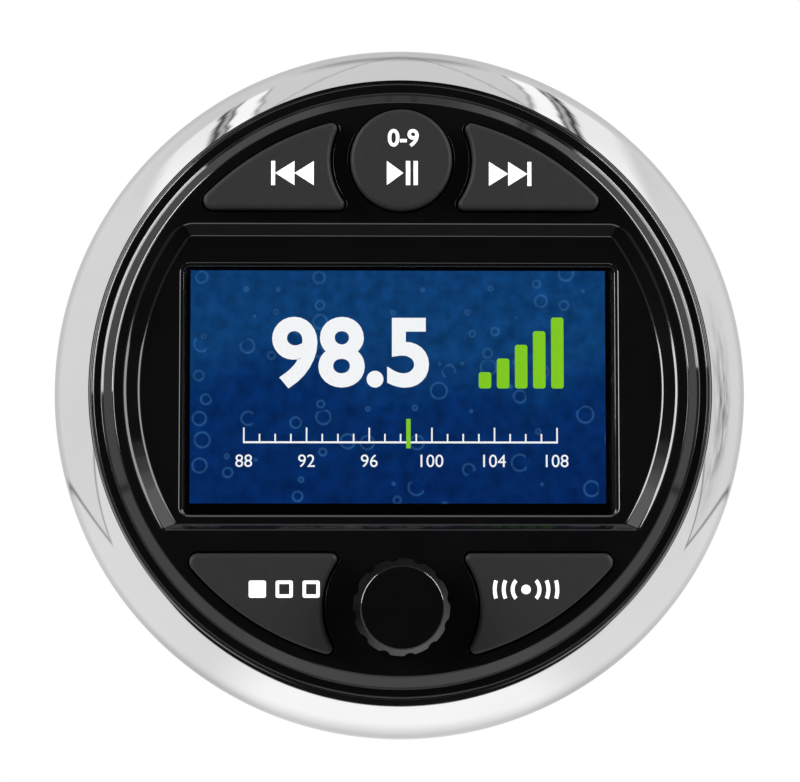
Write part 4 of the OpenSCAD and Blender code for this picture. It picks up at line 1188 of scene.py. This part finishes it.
# Finishes of the CAD nodes

FINISHES = {
    CLEAR_WINDOW: ["display_window"],
    LIT_SCREEN: ["lcd_panel"],
    STEEL: ["encoder_shaft", "encoder_plunger", "encoder_washer", "encoder_nut", "front_board_screws",
            "barrel_screws", "pillar_screws", "chip_clamp", "clamp_screws"],
    SEAL_RUBBER: ["keypad_mats", "panel_gasket", "bezel_seal", "cover_seal"],
    WHITE_PLASTIC: ["lcd_holder", "ribbon_sockets"] + [key + "_plunger" for key in SIGN_AT],
    BRASS: ["board_pillars", "harness_pins"],
    BOARD_GREEN: ["front_board", "main_board"],
    CHIP_BLACK: ["controller_chip", "amplifier_chip"],
    TRAY_METAL: ["backlight_tray", "tuner_module"],
    TAPE_BLACK: ["window_tape"],
    SWITCH_BLACK: ["switch_bodies"],
    ENCODER_GREY: ["encoder_body"],
    BARREL_BLACK: ["barrel"],
    CAPACITOR_BLUE: ["capacitors"],
    CABLE_GREY: ["ribbon_cable"],
}
for finish, nodes in FINISHES.items():
    for node in nodes:
        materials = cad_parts[node].data.materials
        materials.clear()
        materials.append(finish)

# Camera

CAMERA_DISTANCE = 434.2
CAMERA_BELOW = 4.18
CAMERA_LEFT = 1.0
CAMERA_LENS = 120.1
AIM = (0.04, 0.43)

scene.view_settings.view_transform = "Standard"
camera_data = bpy.data.cameras.new("camera")
camera_data.lens = CAMERA_LENS
camera_data.clip_start = 0.01
camera = bpy.data.objects.new("camera", camera_data)
scene.collection.objects.link(camera)
level, up = polar(1.0, CAMERA_BELOW)
away, right = polar(level, CAMERA_LEFT)
toward = Vector((right, away, up))
camera.location = Vector((AIM[0], 0, AIM[1])) * MM - toward * CAMERA_DISTANCE * MM
camera.rotation_euler = toward.to_track_quat("-Z", "Y").to_euler()
scene.camera = camera

# World and lights

LAMP_LINES = ((0.487, 0.024, 1.0), (0.454, 0.016, 0.85), (0.362, 0.010, 0.5))


def tent_level(tree, spot):
    """Brightness of a light tent: pale sides and table, a dark opening round the camera, seams and lamps.

    x, y and z are parts of a direction of length 1: to the right, away from the camera and up.
    """
    def cloud(scale, detail):
        return output(feed(add(tree, "TexNoise"), Vector=spot, Scale=scale, Detail=detail), "Fac")

    def dim(mask, share):
        return level * (1.0 - mask * share)

    axes = feed(add(tree, "SeparateXYZ"), Vector=spot)
    x, y, z = (output(axes, name) for name in "XYZ")
    x = x + (cloud(7.0, 3.0) - 0.5) * 0.05
    side = abs(x)
    # Sides and ceiling, dimmer behind
    level = remap(z, 0.55, 0.85, 0.80, 0.72) + remap(y, 0.4, 0.8, 0.0, -0.17)
    # Table below, with a corner on each side
    edge = z - y.calc("MAXIMUM", y * 0.29 - 0.34, -0.60 - y * 0.86)
    near_middle = remap(side + z * 0.7, -0.25, 0.08, 0.33, 0.05)
    level = level + remap(edge, -0.02, 0.02, 1.0, 0.0) * near_middle
    level = level * remap(y - z, 0.95, 1.6, 1.0, 0.62)
    level = dim(line(edge, 0.022) * remap(side, 0.5, 0.7), 0.7)
    # Lamp on each side overhead: two dark frame lines, a bright pane and a thin grey line
    high = remap(z, 0.35, 0.5)
    overhead = high * remap(y - x * 0.33, 0.16, 0.28, 1.0, 0.0)
    lane = side + (y * 0.132 + y * y * 0.30)
    for centre, half_width, share in LAMP_LINES:
        level = dim(line(lane - centre, half_width) * overhead, share)
    pane = lane.calc("MULTIPLY", line(lane - 0.41, 0.045), 2.5, clamp=True)
    beyond = remap(lane, 0.49, 0.52) * remap(lane, 0.62, 0.72, 1.0, 0.0)
    level = level * ((pane * 0.6 + beyond * 0.4) * overhead + 1.0)
    # Seams that meet over the middle, and a grey band behind them
    seam = abs(x - 0.02) + (y - 0.45) * 0.34
    level = dim(line(seam, 0.014) * high, 0.4)
    band = line(y - 0.36, 0.2) * remap(side, 0.12, 0.3, 1.0, 0.0)
    level = dim(band * remap(z, 0.7, 0.88), 0.5)
    # Stand on the right, seen unevenly
    stand = line(y + 0.25, 0.34) * remap(x, 0.55, 0.7) * line(z, 0.36)
    level = dim(stand * spread(cloud(13.0, 2.0), 0.0, 1.4), 0.7)
    # Dark opening in front, wider below on both sides
    low_side = remap(side, 0.55, 0.7) * remap(z, -0.15, 0.05, 0.045, 0.0)
    opening = y + 0.529 - z * 0.02 + (x * x * 0.136 + low_side)
    level = level * remap(opening, -0.012, 0.012, 0.006, 1.0)
    # Dim room on both sides of the camera
    room = remap(side, 0.15, 0.35) * remap(y, -0.86, -0.74, 1.0, 0.0)
    return level + room * 0.3


def build_world():
    """The tent lights and is mirrored; behind the part the camera sees plain white."""
    world = bpy.data.worlds.new("studio")
    scene.world = world
    world.use_nodes = True
    tree = world.node_tree
    tree.nodes.clear()
    level = tent_level(tree, add(tree, "TexCoord").outputs["Generated"])
    glow = feed(add(tree, "Background"), Color=WHITE, Strength=level)
    white = feed(add(tree, "Background"), Color=WHITE)
    pick = feed(add(tree, "MixShader"), Fac=add(tree, "LightPath").outputs["Is Camera Ray"])
    put(pick.inputs[1], glow.outputs["Background"])
    put(pick.inputs[2], white.outputs["Background"])
    feed(add(tree, "OutputWorld"), Surface=pick.outputs["Shader"])


def soft_light(name, spot, size, power, lit):
    """Soft box aimed at the part that lights the named pieces alone; the rest has the tent's light."""
    data = bpy.data.lights.new(name, "AREA")
    data.shape = "RECTANGLE"
    data.size, data.size_y = size
    data.energy = power
    lamp = bpy.data.objects.new(name, data)
    lamp.location = spot
    lamp.rotation_euler = (-Vector(spot)).to_track_quat("-Z", "Y").to_euler()
    scene.collection.objects.link(lamp)
    group = bpy.data.collections.new(name + "_group")
    for piece in lit:
        group.objects.link(bpy.data.objects[piece])
    lamp.light_linking.receiver_collection = group


BEZEL = ["bezel_moulding"]
KNOB_CAP = ["volume_knob_cap"]
KNOB_GRIP = ["volume_knob_grip"]
MATT = ["preset_range"] + [key + kind for key in SIGN_AT for kind in ("_cap", "_sign")]
LEFT_BOX = ((-0.76, -0.20, 0.39), (0.36, 0.75))
RIGHT_BOX = ((0.76, -0.20, 0.46), (0.36, 0.75))
PANELS = 4

build_world()
soft_light("left_box", *LEFT_BOX, 25.0, BEZEL)
soft_light("right_box", *RIGHT_BOX, 20.0, BEZEL)
soft_light("left_glint", *LEFT_BOX, 40.0, KNOB_CAP)
soft_light("right_glint", *RIGHT_BOX, 34.0, KNOB_CAP)
soft_light("left_strip", (-0.355, -0.63, 0.112), (0.20, 0.255), 3.0, BEZEL)
soft_light("right_strip", (0.37, -0.62, 0.112), (0.24, 0.255), 1.5, BEZEL)
soft_light("high_strip", (0.0, -0.195, 0.758), (0.5, 0.12), 0.25, BEZEL)
soft_light("low_strip", (0.0, -0.62, -0.38), (0.24, 0.16), 0.3, BEZEL)
soft_light("low_panel", (0.0, -0.37, -0.56), (0.3, 0.3), 0.045, BEZEL)
soft_light("low_box", (0.25, -0.3, -0.5), (0.5, 0.3), 55.0, KNOB_GRIP)
soft_light("high_box", (0.2, -0.3, 0.5), (0.5, 0.3), 5.0, KNOB_GRIP)
for side, sign in (("left", -1), ("right", 1)):
    soft_light(side + "_fill", (sign * 0.62, -0.42, 0.27), (0.5, 0.55), 6.0, MATT)
    for step in range(PANELS):
        spot = (sign * (0.56 - 0.02 * step), -0.53, 0.32 + 0.03 * step)
        soft_light(side + "_panel_" + str(step), spot, (0.26, 0.30), 0.1 + 0.04 * step, BEZEL)

# Floor

FLOOR_LEVEL = -0.13
FLOOR_R = 0.85
FLOOR_GREY = (0.88, 0.88, 0.88, 1)
FLOOR_GLOW = 0.2


def build_floor():
    """Pale disc that fades out towards its rim; it casts no shadow and isn't mirrored."""
    mesh = bpy.data.meshes.new("floor")
    work = bmesh.new()
    bmesh.ops.create_circle(work, cap_ends=True, radius=FLOOR_R, segments=96)
    work.to_mesh(mesh)
    work.free()
    floor = bpy.data.objects.new("floor", mesh)
    floor.location = (0, 0, FLOOR_LEVEL)
    scene.collection.objects.link(floor)
    material, tree, shader = new_material("pale_floor")
    reach = add(tree, "VectorMath", operation="LENGTH")
    put(reach.inputs[0], add(tree, "TexCoord").outputs["Object"])
    fade = remap(output(reach, "Value"), FLOOR_R / 2, FLOOR_R, 1.0, 0.0, "LINEAR")
    feed(shader, Base_Color=FLOOR_GREY, Roughness=0.8, Emission_Color=WHITE, Emission_Strength=FLOOR_GLOW,
         Alpha=fade)
    mesh.materials.append(material)
    floor.visible_glossy = False
    floor.visible_shadow = False


build_floor()
